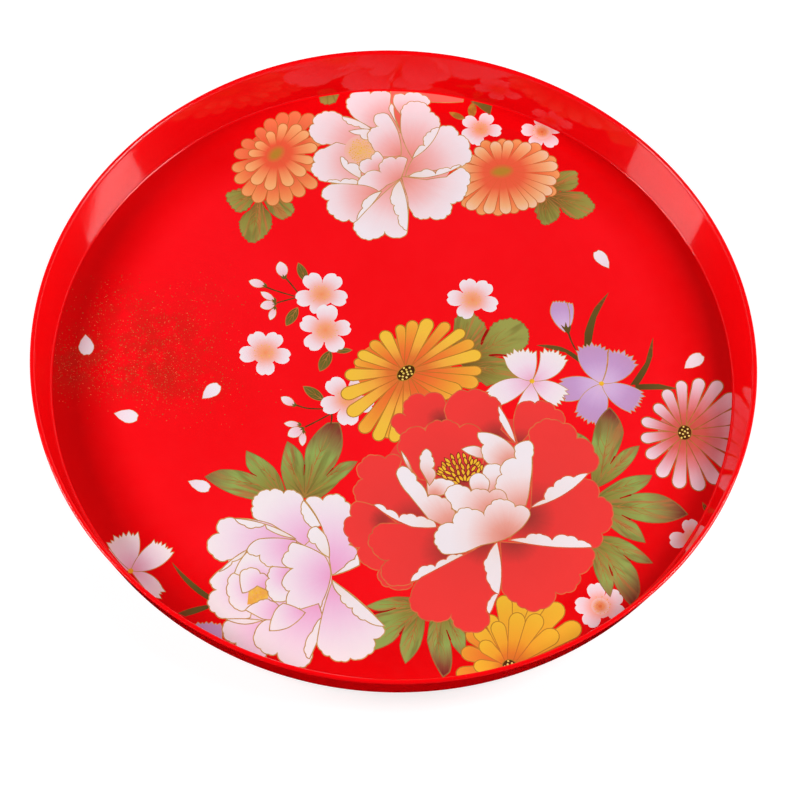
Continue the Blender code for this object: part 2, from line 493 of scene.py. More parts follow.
def stroke(piece, ink, points, width, tip_width):
    """A drawn line through the points, which narrows or widens to tip_width."""
    path = smooth_path(points)
    reach = max(abs(path[-1] - path[0]), 1.0)
    half = np.linspace(width / 2, tip_width / 2, len(path))
    shape = {"piece": piece, "ink": ink, "loop": path, "root": path[0], "reach": reach}
    SHAPES.append({**shape, "line": None, "half": half, "open": True})


def dot(piece, ink, centre, radius):
    patch(piece, ink, centre + radius * circle(8), centre, radius)


def petals(piece, line, width, rows, frill=0.0):
    """Rows of (ink, root x, root y, reach, corners)."""
    for ink, x, y, reach, corners in rows:
        patch(piece, ink, outline(corners, frill), complex(x, y), reach, line, width)


def ray_petal(piece, ink, centre, tip, width, line, line_width):
    """A chrysanthemum's long petal: it widens steadily and ends in a round tip."""
    length = abs(tip - centre)
    half = width / 2 / length
    waist = 1 - half * 1.15
    share = np.linspace(0.04, waist, 9)
    sides = half * (0.22 + 0.78 * (share / waist) ** 0.85)
    swing = np.linspace(-np.pi / 2, np.pi / 2, 9)[1:-1]
    cap = waist + (1 - waist) * np.cos(swing) + 1j * half * np.sin(swing)
    loop = np.concatenate([share - 1j * sides, cap, share[::-1] + 1j * sides[::-1]])
    patch(piece, ink, moved(loop, centre, tip), centre, length, line, line_width)


def ray_ring(piece, ink, centre, tips, line, line_width):
    for x, y, width in tips:
        ray_petal(piece, ink, centre, complex(x, y), width, line, line_width)


def blossom(piece, x, y, tips, glow=0.0):
    """A cherry blossom: notched petals, by (degrees, length), that run together, and fine stamens."""
    centre = complex(x, y)
    reach = sum(length for _, length in tips) / len(tips)
    patch(piece, "cherry", centre + 0.5 * reach * circle(24), centre, reach * 1.02)
    half = [(0.5, -0.32, 0.16), (0.8, -0.34, 0.22), (0.99, -0.12, 0.12)]
    other_half = [(0.99, 0.12, 0.22), (0.8, 0.34, 0.16), (0.5, 0.32, 0.0)]
    petal = outline([(0.0, 0.0, 0.0), *half, (0.93, 0.0, 0.12), *other_half])
    for degrees, length in tips:
        tip = centre + length * np.exp(1j * math.radians(degrees))
        patch(piece, "cherry", moved(petal, centre, tip), centre, reach * 1.02)
    # The darker orange middle disc is partly painted shade, given only to blossoms beside the wall.
    if glow:
        patch(piece, "glow", centre + glow * circle(24), centre, glow)
    for index in range(BLOSSOM_STAMENS):
        spin = np.exp(1j * (index * GOLDEN_ANGLE + x))
        near = centre + 0.08 * reach * spin
        spot = centre + reach * (0.2 + 0.22 * ((index * 7) % 5) / 4) * spin
        stroke(piece, "pollen", [(near.real, near.imag), (spot.real, spot.imag)], 0.1, 0.08)
        dot(piece, "pollen" if index % 3 else "stamen", spot, 0.27)


def fringed(piece, ink, x, y, rows):
    """A pink (dianthus). A petal is (x, y, side bulge, x, y, side bulge, teeth, edge bulge)."""
    centre = complex(x, y)
    for x0, y0, bulge0, x1, y1, bulge1, teeth, edge in rows:
        corners = [(x, y, bulge0), (x0, y0, edge, -teeth, 1.0), (x1, y1, bulge1)]
        reach = 0.54 * (abs(complex(x0, y0) - centre) + abs(complex(x1, y1) - centre))
        patch(piece, ink, outline(corners), centre, reach, "gold", 0.35)
    dot(piece, "stamen", centre, 1.35)


def seed_disc(piece, centre, wide, high, tilt, line, count, spacing, radius):
    """The dark oval middle of a flower, with its seeds in a spiral."""
    spin = np.exp(1j * tilt)
    turn = circle(28)
    oval = (wide * turn.real + 1j * high * turn.imag) * spin
    patch(piece, "disc", centre + oval, centre, wide, line, 0.4)
    for index in range(count):
        spot = spacing * math.sqrt(index + 0.35) * np.exp(1j * GOLDEN_ANGLE * index)
        dot(piece, "seed", centre + (spot.real + 1j * spot.imag * high / wide) * spin, radius)


def small_leaf(piece, ink, base, tip, left, right, width, veins):
    """A lens-shaped leaf with a midrib and side veins; left and right are the bulges of its sides."""
    corners = [(*base, right), (*tip, left)]
    root = complex(*base)
    patch(piece, ink, outline(corners), root, abs(complex(*tip) - root), "vein", width)
    leaf_veins(piece, base, tip, min(left, right) * 0.5, veins)


def leaf_veins(piece, base, tip, spread, veins):
    """A midrib from base towards the tip, with slender side veins on both sides."""
    root = complex(*base)
    run = complex(*tip) - root
    end = root + 0.9 * run
    stroke(piece, "vein", [(root.real, root.imag), (end.real, end.imag)], 0.5, 0.15)
    for index in range(veins):
        for side in (-1, 1):
            start = root + run * (0.14 + 0.5 * index / veins)
            middle = start + run * (0.16 + side * spread * 0.45j)
            stop = start + run * (0.34 + side * spread * 0.62j)
            stroke(piece, "vein", [(spot.real, spot.imag) for spot in (start, middle, stop)], 0.3, 0.1)


# ------------------------------------------------------------------------------------------
# The print, from the back to the front
# ------------------------------------------------------------------------------------------
def loose_petals():
    rows = [
        (-152.7, 6.8, -150.5, -5, 7.6), (-91.8, -24.5, -84.2, -15.8, 7.2),
        (-133.5, -35.8, -121.4, -37.6, 7.4), (-94, -69.5, -83, -73, 6.2), (143.2, 11, 152.3, 19.6, 7),
        (105, 66, 98, 76, 6.5)]
    for x0, y0, x1, y1, width in rows:
        root = complex(x0, y0)
        tip = complex(x1, y1)
        half = width / 2 / abs(tip - root)
        corners = [
            (0, 0, 0.14), (0.55, -half, 0.26), (0.97, -0.12, 0.06), (0.95, 0.0, 0.06), (0.97, 0.12, 0.26),
            (0.55, half, 0.14)]
        loop = moved(outline(corners), root, tip)
        patch("loose_petals", "loose", loop, root, abs(tip - root), "gold_pink", 0.22)


def lower_left_pinks():
    piece = "lower_left_pinks"
    sickles = [
        ((-97.2, -112), [(-97.2, -112, -0.05), (-78, -127.4), (-78, -130.2, 0.15)]),
        ((-91.5, -137.6), [(-91.5, -137.6, 0.1), (-76.5, -132.2), (-78, -134.4, 0.05), (-88, -139)]),
    ]
    for tip, corners in sickles:
        patch(piece, "leaf_dark", outline(corners), -77 - 131j, abs(complex(*tip) + 77 + 131j))
    patch(
        piece,
        "lilac",
        outline([(-76, -153), (-82.8, -142.8, 0.14, -6), (-70.6, -142.6, 0.05), (-70, -151)]),
        -76 - 158j,
        16,
        "gold",
        0.3,
    )
    rows = [
        (-131, -119, 0.0, -127.4, -107.4, 0.3, 4, 0.1),
        (-103.5, -132, 0.0, -100, -125.6, 0.34, 4, 0.1),
        (-113.8, -100.4, 0.2, -127.4, -106.4, 0.1, 8, 0.36),
        (-97.4, -108.4, 0.32, -107.8, -103.2, 0.16, 7, 0.26),
    ]
    fringed(piece, "rose", -115.7, -118, rows)


def right_pinks():
    piece = "lilac_pinks"
    sickles = [
        (95 + 18j, 34, [
            (93.4, 14), (93.4, 27, 0.05), (98, 42, 0.03), (105.2, 52), (99.2, 37, -0.04), (96.6, 15)]),
        (118 - 1j, 29, [(116.5, -0.5), (124, 13, 0.03), (127.6, 27.5), (127.4, 17, 0.08), (120.6, 0)]),
        (120 - 2j, 20, [(119, -3), (132, -1.8, 0.05), (140.4, -0.6), (131, 1.2, 0.03), (119, 0)]),
        (92 + 11j, 23, [(92.4, 9.4), (84, 15.4, 0.02), (69.6, 18.4, 0.1), (82, 18.4, 0.08), (92, 12.6)]),
    ]
    for root, reach, corners in sickles:
        patch(piece, "leaf_dark", outline(corners), root, reach)
    stroke(piece, "stem", [(84.8, 29), (87, 22), (90.5, 15)], 1.0, 0.7)
    bud = [
        (83.6, 27, 0.18), (76.2, 37, 0.15), (77, 43.6, 0.14, -8, 0.6), (87.3, 43, 0.12), (86.8, 32, 0.12)]
    patch(piece, "lilac", outline(bud), 84 + 27j, 20, "gold", 0.35)
    stroke(piece, "gold", [(84.4, 44), (85.8, 38), (85.9, 30)], 0.5, 0.4)
    sepals = [
        (85.6, 25.6, 0.1), (81.4, 31.2, 0.05), (83.4, 29.8), (83.8, 33), (85, 29.8), (86.6, 31.4, 0.1)]
    patch(piece, "leaf_dark", outline(sepals), 85.4 + 26j, 8)
    rows = [
        (83.6, 0.6, 0.26, 85.6, -12.2, 0.26, 6, 0.12),
        (90.4, -16.4, 0.3, 101.4, -22.6, 0.36, 7, 0.24),
        (121.8, -3.4, 0.22, 115.6, -15.4, 0.26, 8, 0.26),
        (105.4, 16.4, -0.12, 118.8, 9.8, 0.3, 8, 0.46),
        (90.2, 15.4, 0.3, 105, 17, 0.1, 9, 0.5),
    ]
    fringed(piece, "lilac", 102.4, -0.8, rows)
    piece = "rose_pinks"
    rows = [
        (61, -18, 0.1, 73, -17, 0.1, 6, 0.15),
        (46.8, -8.6, 0.34, 54, -16.4, 0.16, 7, 0.2),
        (84.8, -4.6, 0.24, 79.6, -14.6, 0.26, 6, 0.2),
        (71.8, 13.4, -0.14, 84.6, 9.8, 0.34, 8, 0.48),
        (54.4, 8.8, 0.36, 70, 12.6, 0.12, 9, 0.4),
    ]
    fringed(piece, "rose", 68.2, -2.1, rows)


def left_leaves():
    piece = "left_peony_leaves"
    rows = [
        ("leaf_maroon", -48, -76, 46, [
            (-61, -77, 0.06), (-73, -74.4, 0.1), (-86.2, -66.6, 0.1), (-79, -62.2, 0.08),
            (-68, -62.4, 0.04), (-62.6, -64.2, 0.1), (-67, -59, 0.08), (-67.8, -51.2, 0.12),
            (-54, -59, 0.1), (-47.6, -71)]),
        ("leaf_maroon", -38, -74, 43, [
            (-45, -74, 0.08), (-50.4, -60, 0.08), (-48.6, -44.6, 0.14), (-41, -51.2, 0.1),
            (-39.2, -60, 0.04), (-39.4, -48, 0.14), (-30, -33, 0.02), (-24.6, -32.4, 0.1), (-22, -44, 0.1),
            (-24, -53.6, 0.06), (-27.8, -60.8, 0.02), (-22.4, -54.4, 0.14), (-14.2, -52.8, 0.1),
            (-22, -63.8, 0.08), (-31, -74)]),
    ]
    petals(piece, "vein_dark", 0.3, rows)
    slits = [
        [(-39.2, -62), (-39.3, -56.5)], [(-28.4, -61.4), (-25.6, -57.2)], [(-61.6, -64.4), (-64.6, -62.8)]]
    for points in slits:
        stroke(piece, "slit", points, 0.35, 0.7)
    for base, tip in (((-60, -69), (-82, -66.4)), ((-53, -66), (-65.4, -54))):
        leaf_veins(piece, base, tip, 0.14, 2)
    for base, tip in (((-44, -62), (-47.6, -50)), ((-34.6, -56), (-29, -38)), ((-28, -62), (-18, -54.4))):
        leaf_veins(piece, base, tip, 0.22, 2)
    for x, y in [(-46.4, -57.4), (-35.8, -56), (-26.6, -63.8)]:
        stroke(piece, "gold_rib", [(-38, -73.4), ((x - 38) / 2 + 0.5, (y - 73) / 2), (x, y)], 1.0, 0.4)


def right_leaves():
    piece = "right_peony_leaves"
    rows = [
        ("leaf", 88, -44, 20, [(89.5, -28.4, 0.05), (95.2, -31, 0.1), (99, -36), (88, -40)]),
        ("leaf_maroon", 100, -59, 45, [
            (99, -58), (97.6, -42, 0.04), (99.8, -25, 0.14), (106.6, -13.8, 0.18), (113.6, -27, 0.1),
            (108, -43.8, 0.06), (113.4, -37.2, 0.12), (121.4, -33.8, 0.12), (116, -45.4, 0.12),
            (101, -58)]),
        ("leaf_maroon", 97, -86, 40, [
            (103, -83.6, 0.08), (112, -83.6, 0.1), (121.6, -88.8, 0.06), (128.4, -95.6, 0.08),
            (121, -95.8, 0.06), (115, -92.8, 0.04), (120.6, -100, 0.1), (122.4, -111, 0.1),
            (118.8, -118.4, 0.1), (110.8, -108, 0.06), (107.8, -98.8, 0.02), (110.2, -106, 0.06),
            (108.6, -114.4, 0.1), (101.4, -103, 0.08), (99.6, -89)]),
        ("leaf_maroon", 97, -67, 49, [
            (100, -64, 0.06), (108.8, -55.6, 0.1), (117, -50.8, 0.08), (127.6, -49.3, 0.1),
            (125, -54.6, 0.14), (113, -62.4, 0.06), (121.6, -59.4, 0.08), (131, -59.2, 0.12),
            (141, -64.4, 0.04), (145, -68.8, 0.1), (134, -74, 0.1), (121.6, -74, 0.06), (114, -71.8, 0.02),
            (120.4, -75.8, 0.1), (124.8, -85.2, 0.1), (114, -82.6, 0.06), (106, -76)]),
    ]
    petals(piece, "vein_dark", 0.3, rows)
    slits = [
        [(107.6, -44.6), (109.6, -40.6)], [(112.4, -62.8), (117.6, -60.6)],
        [(113.4, -71.6), (117.4, -73.6)], [(114.6, -92.4), (117.6, -95)], [(107.6, -98.2), (109.6, -103.4)]]
    for points in slits:
        stroke(piece, "slit", points, 0.5, 1.0)
    veins = [
        ((103, -52), (107, -19), 0.2), ((106, -50), (119, -36.5), 0.2), ((106, -60), (124, -52), 0.2),
        ((102, -92), (107.8, -110), 0.16), ((106, -92), (118, -113), 0.2), ((105, -86), (124, -93.6), 0.2),
        ((108, -73), (122.4, -82.6), 0.16), ((106, -67), (141, -67.6), 0.16)]
    for base, tip, spread in veins:
        leaf_veins(piece, base, tip, spread, 3)


def bottom_leaves():
    piece = "lower_peony_leaves"
    rows = [
        ("leaf", 24, -125, 34, [
            (19, -122, 0.04), (9, -121.8, 0.1), (-4.8, -127.6, 0.1), (1, -129.6, 0.08), (8.4, -127.8, 0.02),
            (-1, -132), (-1, -149.6, 0.1), (8.6, -144.4, 0.06), (13.4, -137, 0.04), (11.8, -146, 0.1),
            (15, -154.7, 0.12), (21.4, -145, 0.08), (22.6, -131)]),
        ("leaf_maroon", 31, -126, 32, [
            (25.4, -131, 0.04), (24.4, -143, 0.1), (32.6, -160.2, 0.04), (35.6, -157.4, 0.1),
            (36, -148, 0.06), (33.2, -137.2, 0.04), (36.6, -144.6, 0.06), (41.8, -149.6, 0.12),
            (40.6, -134), (34.6, -126)]),
    ]
    petals(piece, "vein_dark", 0.3, rows)
    slits = [
        [(8.8, -127.6), (4, -129.6), (-1, -130.6)], [(13.4, -136.6), (11.6, -140.4)],
        [(33, -136.8), (35, -141.6)]]
    for points in slits:
        stroke(piece, "slit", points, 0.5, 1.0)
    veins = [
        ((19, -125), (-1, -126.6)), ((19, -129), (3, -144)), ((19, -132), (15.6, -150)),
        ((28, -133), (31, -154)), ((35, -133), (40.6, -144.6))]
    for base, tip in veins:
        leaf_veins(piece, base, tip, 0.2, 3)


def bottom_chrysanthemum():
    piece = "lower_chrysanthemum"
    centre = 62.8 - 152.4j
    orange = [(38.6, -158.4, 6.5), (40.4, -146.6, 7.5), (42.6, -136.6, 7)]
    back = [
        (46.5, -134.5, 7), (52.4, -127.8, 6.5), (67, -118, 8.5), (76.5, -120, 8.5), (58.7, -117.4, 7.6),
        (94.8, -129.4, 9), (85.8, -119.6, 9.4)]
    front = [
        (46.4, -153.8, 6.6), (49, -141.6, 7), (84.4, -133.6, 8.6), (75.8, -125.8, 8.2), (55.8, -130.8, 7),
        (66, -125.6, 7.6)]
    ray_ring(piece, "tangerine", centre, orange, "yellow_line", 0.42)
    ray_ring(piece, "marigold", centre, back, "yellow_line", 0.42)
    ray_ring(piece, "marigold", centre, front, "yellow_line", 0.42)
    seed_disc(piece, centre, 3.3, 3.2, 0.0, "yellow_line", 8, 1.0, 0.5)


def left_peony():
    piece = "left_peony"
    pink = "lilac_blush"
    rows = [
        (pink, -32, -98, 31, [
            (-38.3, -75, 0.3), (-42, -71.4, 0.42), (-48, -72.3, 0.42), (-54.6, -71.6, 0.42),
            (-60.4, -74.4, 0.36), (-61.8, -80.4, 0.3), (-60, -87), (-36, -99), (-30, -92)]),
        (pink, -22, -110, 38, [
            (-37.4, -75.6, 0.36), (-34.4, -73, 0.3), (-29.2, -74.6, 0.4), (-24.4, -71.4, 0.4),
            (-18.4, -74.6, 0.4), (-15.6, -81, 0.3), (-18, -89, 0.28), (-15, -97, 0.36), (-10.6, -101, 0.1),
            (-9.4, -107, 0.05), (-22, -113), (-24, -104, -0.15)]),
        ("fold", -24, -104, 20, [
            (-38.2, -75.4, 0.25), (-37.8, -83.4, 0.3), (-31.6, -89.4), (-29, -88, 0.06)]),
        ("fold", -24, -104, 16, [
            (-31, -88.6, 0.4), (-34.8, -92.6, 0.36), (-31, -97.6, 0.2), (-23.8, -104.2, 0.12),
            (-26.4, -93, 0.05)]),
        ("fold", -21, -112, 13, [
            (-21.6, -113.2), (-16.6, -108.6, 0.2), (-12, -104.2, 0.1), (-10.8, -101, 0.1),
            (-9.4, -107, 0.08)]),
        (pink, -44, -98, 36, [
            (-40.4, -96), (-52.4, -89, 0.1), (-70, -87.4, 0.3), (-77.6, -90.4, 0.36), (-76.6, -95.6, 0.4),
            (-81.4, -102, 0.36), (-78.4, -107, 0.4), (-71.6, -109.2, 0.2), (-62.6, -103.2), (-55, -97)]),
        ("fold", -42, -96, 28, [
            (-70, -87.4, 0.14), (-40.4, -95.6, 0.12), (-54.4, -91.6), (-55.4, -89.4, 0.25),
            (-65, -90.6, 0.25)]),
        (pink, -60, -122, 17, [
            (-62, -104), (-72, -112.4, 0.1), (-78, -119, 0.36), (-75, -124.6, 0.42), (-78, -129.6, 0.32),
            (-74.6, -136, 0.4), (-69.4, -138.6, 0.15), (-58, -137.4), (-56, -122)]),
        ("fold", -63, -104, 14, [
            (-62.8, -103.2, 0.1), (-74.6, -115.4, 0.1), (-70.2, -112.2, 0.25), (-69, -109.8, 0.1),
            (-65.6, -108.2, 0.2)]),
        (pink, -57, -122, 13, [
            (-67.4, -115.4, 0.36), (-69.8, -121, 0.3), (-68.6, -127.6, 0.36), (-66.6, -132.2, 0.3),
            (-60.4, -133.8), (-56, -128), (-56, -118)]),
        (pink, -55, -119, 13, [
            (-62.6, -104.4, 0.12), (-67.4, -115.6), (-58, -119), (-51.6, -116.2), (-50.4, -110.6, 0.1),
            (-57, -105.6)]),
        (pink, -52, -121, 13, [
            (-62.8, -125.3, 0.1), (-64.8, -116, 0.3), (-58.4, -112.4, 0.36), (-55.4, -114.8, 0.3),
            (-50, -118.8, 0.25), (-51.6, -123), (-56.3, -121.2, 0.1), (-59, -123.5, 0.2)]),
        (pink, -41, -100, 22, [
            (-40, -96.6, 0.1), (-57.6, -97.2, 0.22), (-62.7, -103, 0.4), (-56.4, -105.4, 0.42),
            (-50, -110.6, 0.25), (-42, -110.6), (-38, -104)]),
        (pink, -42, -114, 13, [
            (-49.6, -110.8, 0.32), (-51, -117, 0.32), (-51, -123.6, 0.3), (-46.4, -128.4, 0.2),
            (-42, -127.6), (-40, -115), (-42, -111)]),
        (pink, -22, -114, 25, [
            (-41.6, -97.6, 0.34), (-43.2, -102.4, 0.42), (-44.6, -109.6, 0.25), (-40.4, -111, 0.2),
            (-44.8, -117.6, 0.36), (-41, -122.6, 0.2), (-42, -128.6, 0.36), (-35.6, -131, 0.4),
            (-29.6, -133, 0.25), (-25.4, -127, 0.08), (-22.4, -113, 0.14), (-26, -103.6, 0.1)]),
        (pink, -46, -140, 26, [
            (-52, -138.6), (-68.6, -139.6, 0.34), (-69.6, -146, 0.36), (-63.4, -150.4, 0.3), (-49, -156),
            (-48, -145)]),
        ("fold", -52, -138, 17, [(-69.2, -138.9, 0.05), (-52.4, -138.2, 0.12), (-60.4, -140.8, 0.12)]),
        (pink, -28, -128, 34, [
            (-27, -128), (-51.6, -138.4, 0.2), (-55.4, -145.4, 0.36), (-52, -152.4, 0.42),
            (-44, -153.8, 0.3), (-41, -158.4, 0.3), (-30, -158.8, 0.3), (-28.4, -152), (-24, -136)]),
        (pink, -44, -133, 16, [
            (-60.6, -133.7, 0.18), (-55.4, -129.4, 0.28), (-49.4, -128.2, 0.3), (-44.8, -131.6, 0.25),
            (-49, -137.8, 0.15), (-54, -136.9)]),
        (pink, -33, -131, 17, [
            (-43.4, -129, 0.2), (-47.7, -135.6, 0.1), (-48.6, -143.2, 0.12), (-40, -141, 0.12),
            (-32.8, -133, 0.1)]),
        ("fold", -21.6, -118, 38, [
            (-21.6, -119, 0.08), (-23.4, -137, 0.02), (-29, -155.6, 0.3), (-31.6, -149.6, 0.2),
            (-28.8, -142, 0.1), (-27.4, -138, 0.2), (-24.4, -134.6, 0.1)]),
        (pink, -20, -118, 36, [
            (-21.5, -116, 0.05), (-26.2, -146, 0.34), (-20, -153.6, 0.42), (-10.4, -154, 0.36),
            (-2.4, -151.6, 0.4), (-0.3, -143.8, 0.36), (4.6, -139, 0.08), (-6, -127, 0.05)]),
        ("fold", -22, -115, 35, [
            (-21.6, -115.6, 0.05), (4.4, -137, 0.2), (-5, -134.6, 0.28), (-11.2, -129, 0.28),
            (-17, -123.4, 0.22)]),
    ]
    back = outline([
        (-40, -80, 0.1), (-66, -92, 0.1), (-72, -128, 0.1), (-48, -146, 0.1), (-22, -134),
        (-22, -100, 0.1)])
    patch(piece, pink, back, -44 - 112j, 45)
    middle = outline([(-60, -123.4), (-56.3, -120.6), (-51, -122.6), (-50.6, -127), (-55, -130), (-60, -131)])
    for layer in (rows[:9], rows[9:10]):
        petals(piece, "gold", 0.52, layer, 4.6)
        patch(piece, "pollen_gold", middle, -55.5 - 126j, 6)
    for index in range(16):
        spot = -55.6 - 125.6j + 0.95 * math.sqrt(index) * np.exp(1j * GOLDEN_ANGLE * index)
        dot(piece, "stamen" if index % 2 else "pollen", spot, 0.4)
    petals(piece, "gold", 0.52, rows[10:], 4.6)


def cherry_sprays():
    piece = "cherry_sprays"
    stems = [
        [(-57, 47), (-53.5, 43), (-49.5, 38)],
        [(-67, 41.2), (-60, 39), (-50.5, 36.6)],
        [(-60, 32.6), (-56, 34.2), (-51, 36.2)],
        [(-46.5, -24.4), (-40, -25.8), (-31, -25.4)],
        [(-40.5, -36), (-36, -33), (-29, -28)],
        [(-28.4, -28), (-28.2, -30.5), (-28.4, -33.5)],
    ]
    for points in stems:
        stroke(piece, "stem", points, 0.85, 0.7)
    small_leaf(piece, "leaf_olive", (-46.4, 45.6), (-51.6, 56.6), 0.36, 0.4, 0.3, 2)
    small_leaf(piece, "leaf_olive", (-49.8, 30.6), (-54.6, 19.6), 0.42, 0.42, 0.3, 2)
    small_leaf(piece, "leaf_olive", (-31.6, 7.4), (-36, -4.8), 0.44, 0.44, 0.3, 2)
    small_leaf(piece, "leaf_olive", (-29.6, 7), (-21, 8.4), 0.34, 0.34, 0.25, 1)
    small_leaf(piece, "leaf_olive", (-32.6, -21), (-43.4, -13.8), 0.4, 0.4, 0.3, 2)
    buds = [
        (-57.6, 46.4, -61, 56.6, 0.62), (-66, 41.6, -75.4, 44, 0.56), (-60.6, 33, -69, 38.2, 0.42),
        (-61, 30.4, -62.8, 22.2, 0.5), (-60.2, 32.2, -68.4, 29.6, 0.7), (-45.8, -25, -53.8, -20.6, 0.56),
        (-42.4, -35, -51, -35, 0.46), (-41.6, -37.6, -41.2, -46.6, 0.46), (-41, -36.4, -48.6, -41.6, 0.7)]
    for x0, y0, x1, y1, bulge in buds:
        root = complex(x0, y0)
        tip = complex(x1, y1)
        egg = outline([(0.12, 0, bulge), (1, 0, bulge)])
        patch(piece, "bud", moved(egg, root, tip), root, abs(tip - root), "gold_pink", 0.22)
        sepals = outline([
            (0, 0, 0.36), (0.36, -0.2, 0), (0.22, -0.04, 0), (0.42, 0.03, 0), (0.2, 0.1, 0),
            (0.34, 0.22, 0.36)])
        patch(piece, "leaf_olive", moved(sepals * 0.72, root, tip), root, 5)
    blossom(piece, -21, -19, [(60, 13), (135, 14.2), (206, 14), (273, 14.8), (345, 13)])
    blossom(piece, -38.5, 39.2, [(262, 12), (125, 13.6), (200, 13.4), (58, 13.8), (-10, 13.2)])
    blossom(piece, -35, 18.6, [(90, 15), (14, 12.8), (-55, 13.6), (-126, 13.6), (160, 13.4)])
    blossom(piece, -63.5, 3.5, [(65, 12.6), (124, 13), (190, 13), (275, 12.8), (352, 12.6)])
    blossom(piece, 37, 42, [(108, 12.5), (178, 13), (-12, 13), (54, 13.2), (245, 12)])


def autumn_leaf():
    piece = "yellow_chrysanthemum_leaf"
    rows = [
        ("leaf_autumn", 30, 4, 34, [
            (28, 10), (28.6, 29, 0.2, -3, 0.3), (33.6, 34.4, 0.25, -3, 0.3), (40.6, 31, 0.25, -4, 0.3),
            (44.4, 24, 0.1), (42.4, 16.6, 0.12), (46.4, 25.6, 0.2, -2, 0.3), (50, 30, 0.25, -4, 0.3),
            (60.4, 31.6, 0.3, -6, 0.3), (65.6, 22, 0.28, -5, 0.3), (60.4, 14, 0.15), (47, 10.4),
            (61, 8, 0.2, -3, 0.3), (63.6, 1, 0.3, -5, 0.3), (53, -4.6, 0.2, -3, 0.3), (40, -3)]),
    ]
    petals(piece, "vein_dark", 0.35, rows)
    stroke(piece, "slit", [(42.6, 16.8), (43.2, 20), (45.2, 25)], 1.3, 1.6)
    stroke(piece, "slit", [(46.8, 10.8), (51, 11.4), (56, 11.2)], 1.3, 0.9)
    leaf_veins(piece, (31, 8), (36, 31), 0.2, 3)
    leaf_veins(piece, (34, 7), (61, 26), 0.22, 4)
    leaf_veins(piece, (38, 4), (58, 2), 0.22, 3)


def yellow_chrysanthemum():
    piece = "yellow_chrysanthemum"
    centre = 6 - 2j
    turn = circle(40)
    patch(piece, "amber", centre + 1j - 1.0 + 24 * turn.real + 18j * turn.imag, centre, 44)
    back = [
        (1.6, 24.6, 5), (8, 27.6, 6), (25.4, 27.6, 5.8), (38.6, 17.8, 6), (43.2, 1.8, 5.4), (42, -5.4, 7.6),
        (29, -14, 7.6), (34, -10.6, 7), (-13.4, -37, 6.8), (-19.6, 2, 4.8), (-12, 14, 5.8), (20, -34, 7),
        (-1, -39, 6)]
    front = [
        (16, 29.2, 7), (33.6, 24, 5.8), (42.6, 11.4, 6.8), (2.6, -41, 5.8), (-5.8, -40.8, 6.2),
        (-20.4, -28, 7), (-24.4, -17.8, 7.4), (-23.6, -6, 6.8), (-18, 7, 6), (-6.6, 20.4, 6.6),
        (10, -38, 6.5)]
    ray_ring(piece, "amber", centre, back, "yellow_line", 0.5)
    ray_ring(piece, "yellow", centre, front, "yellow_line", 0.5)
    seed_disc(piece, centre + 0.2 - 0.4j, 5.3, 3.5, 0.85, "yellow_line", 13, 1.24, 0.56)


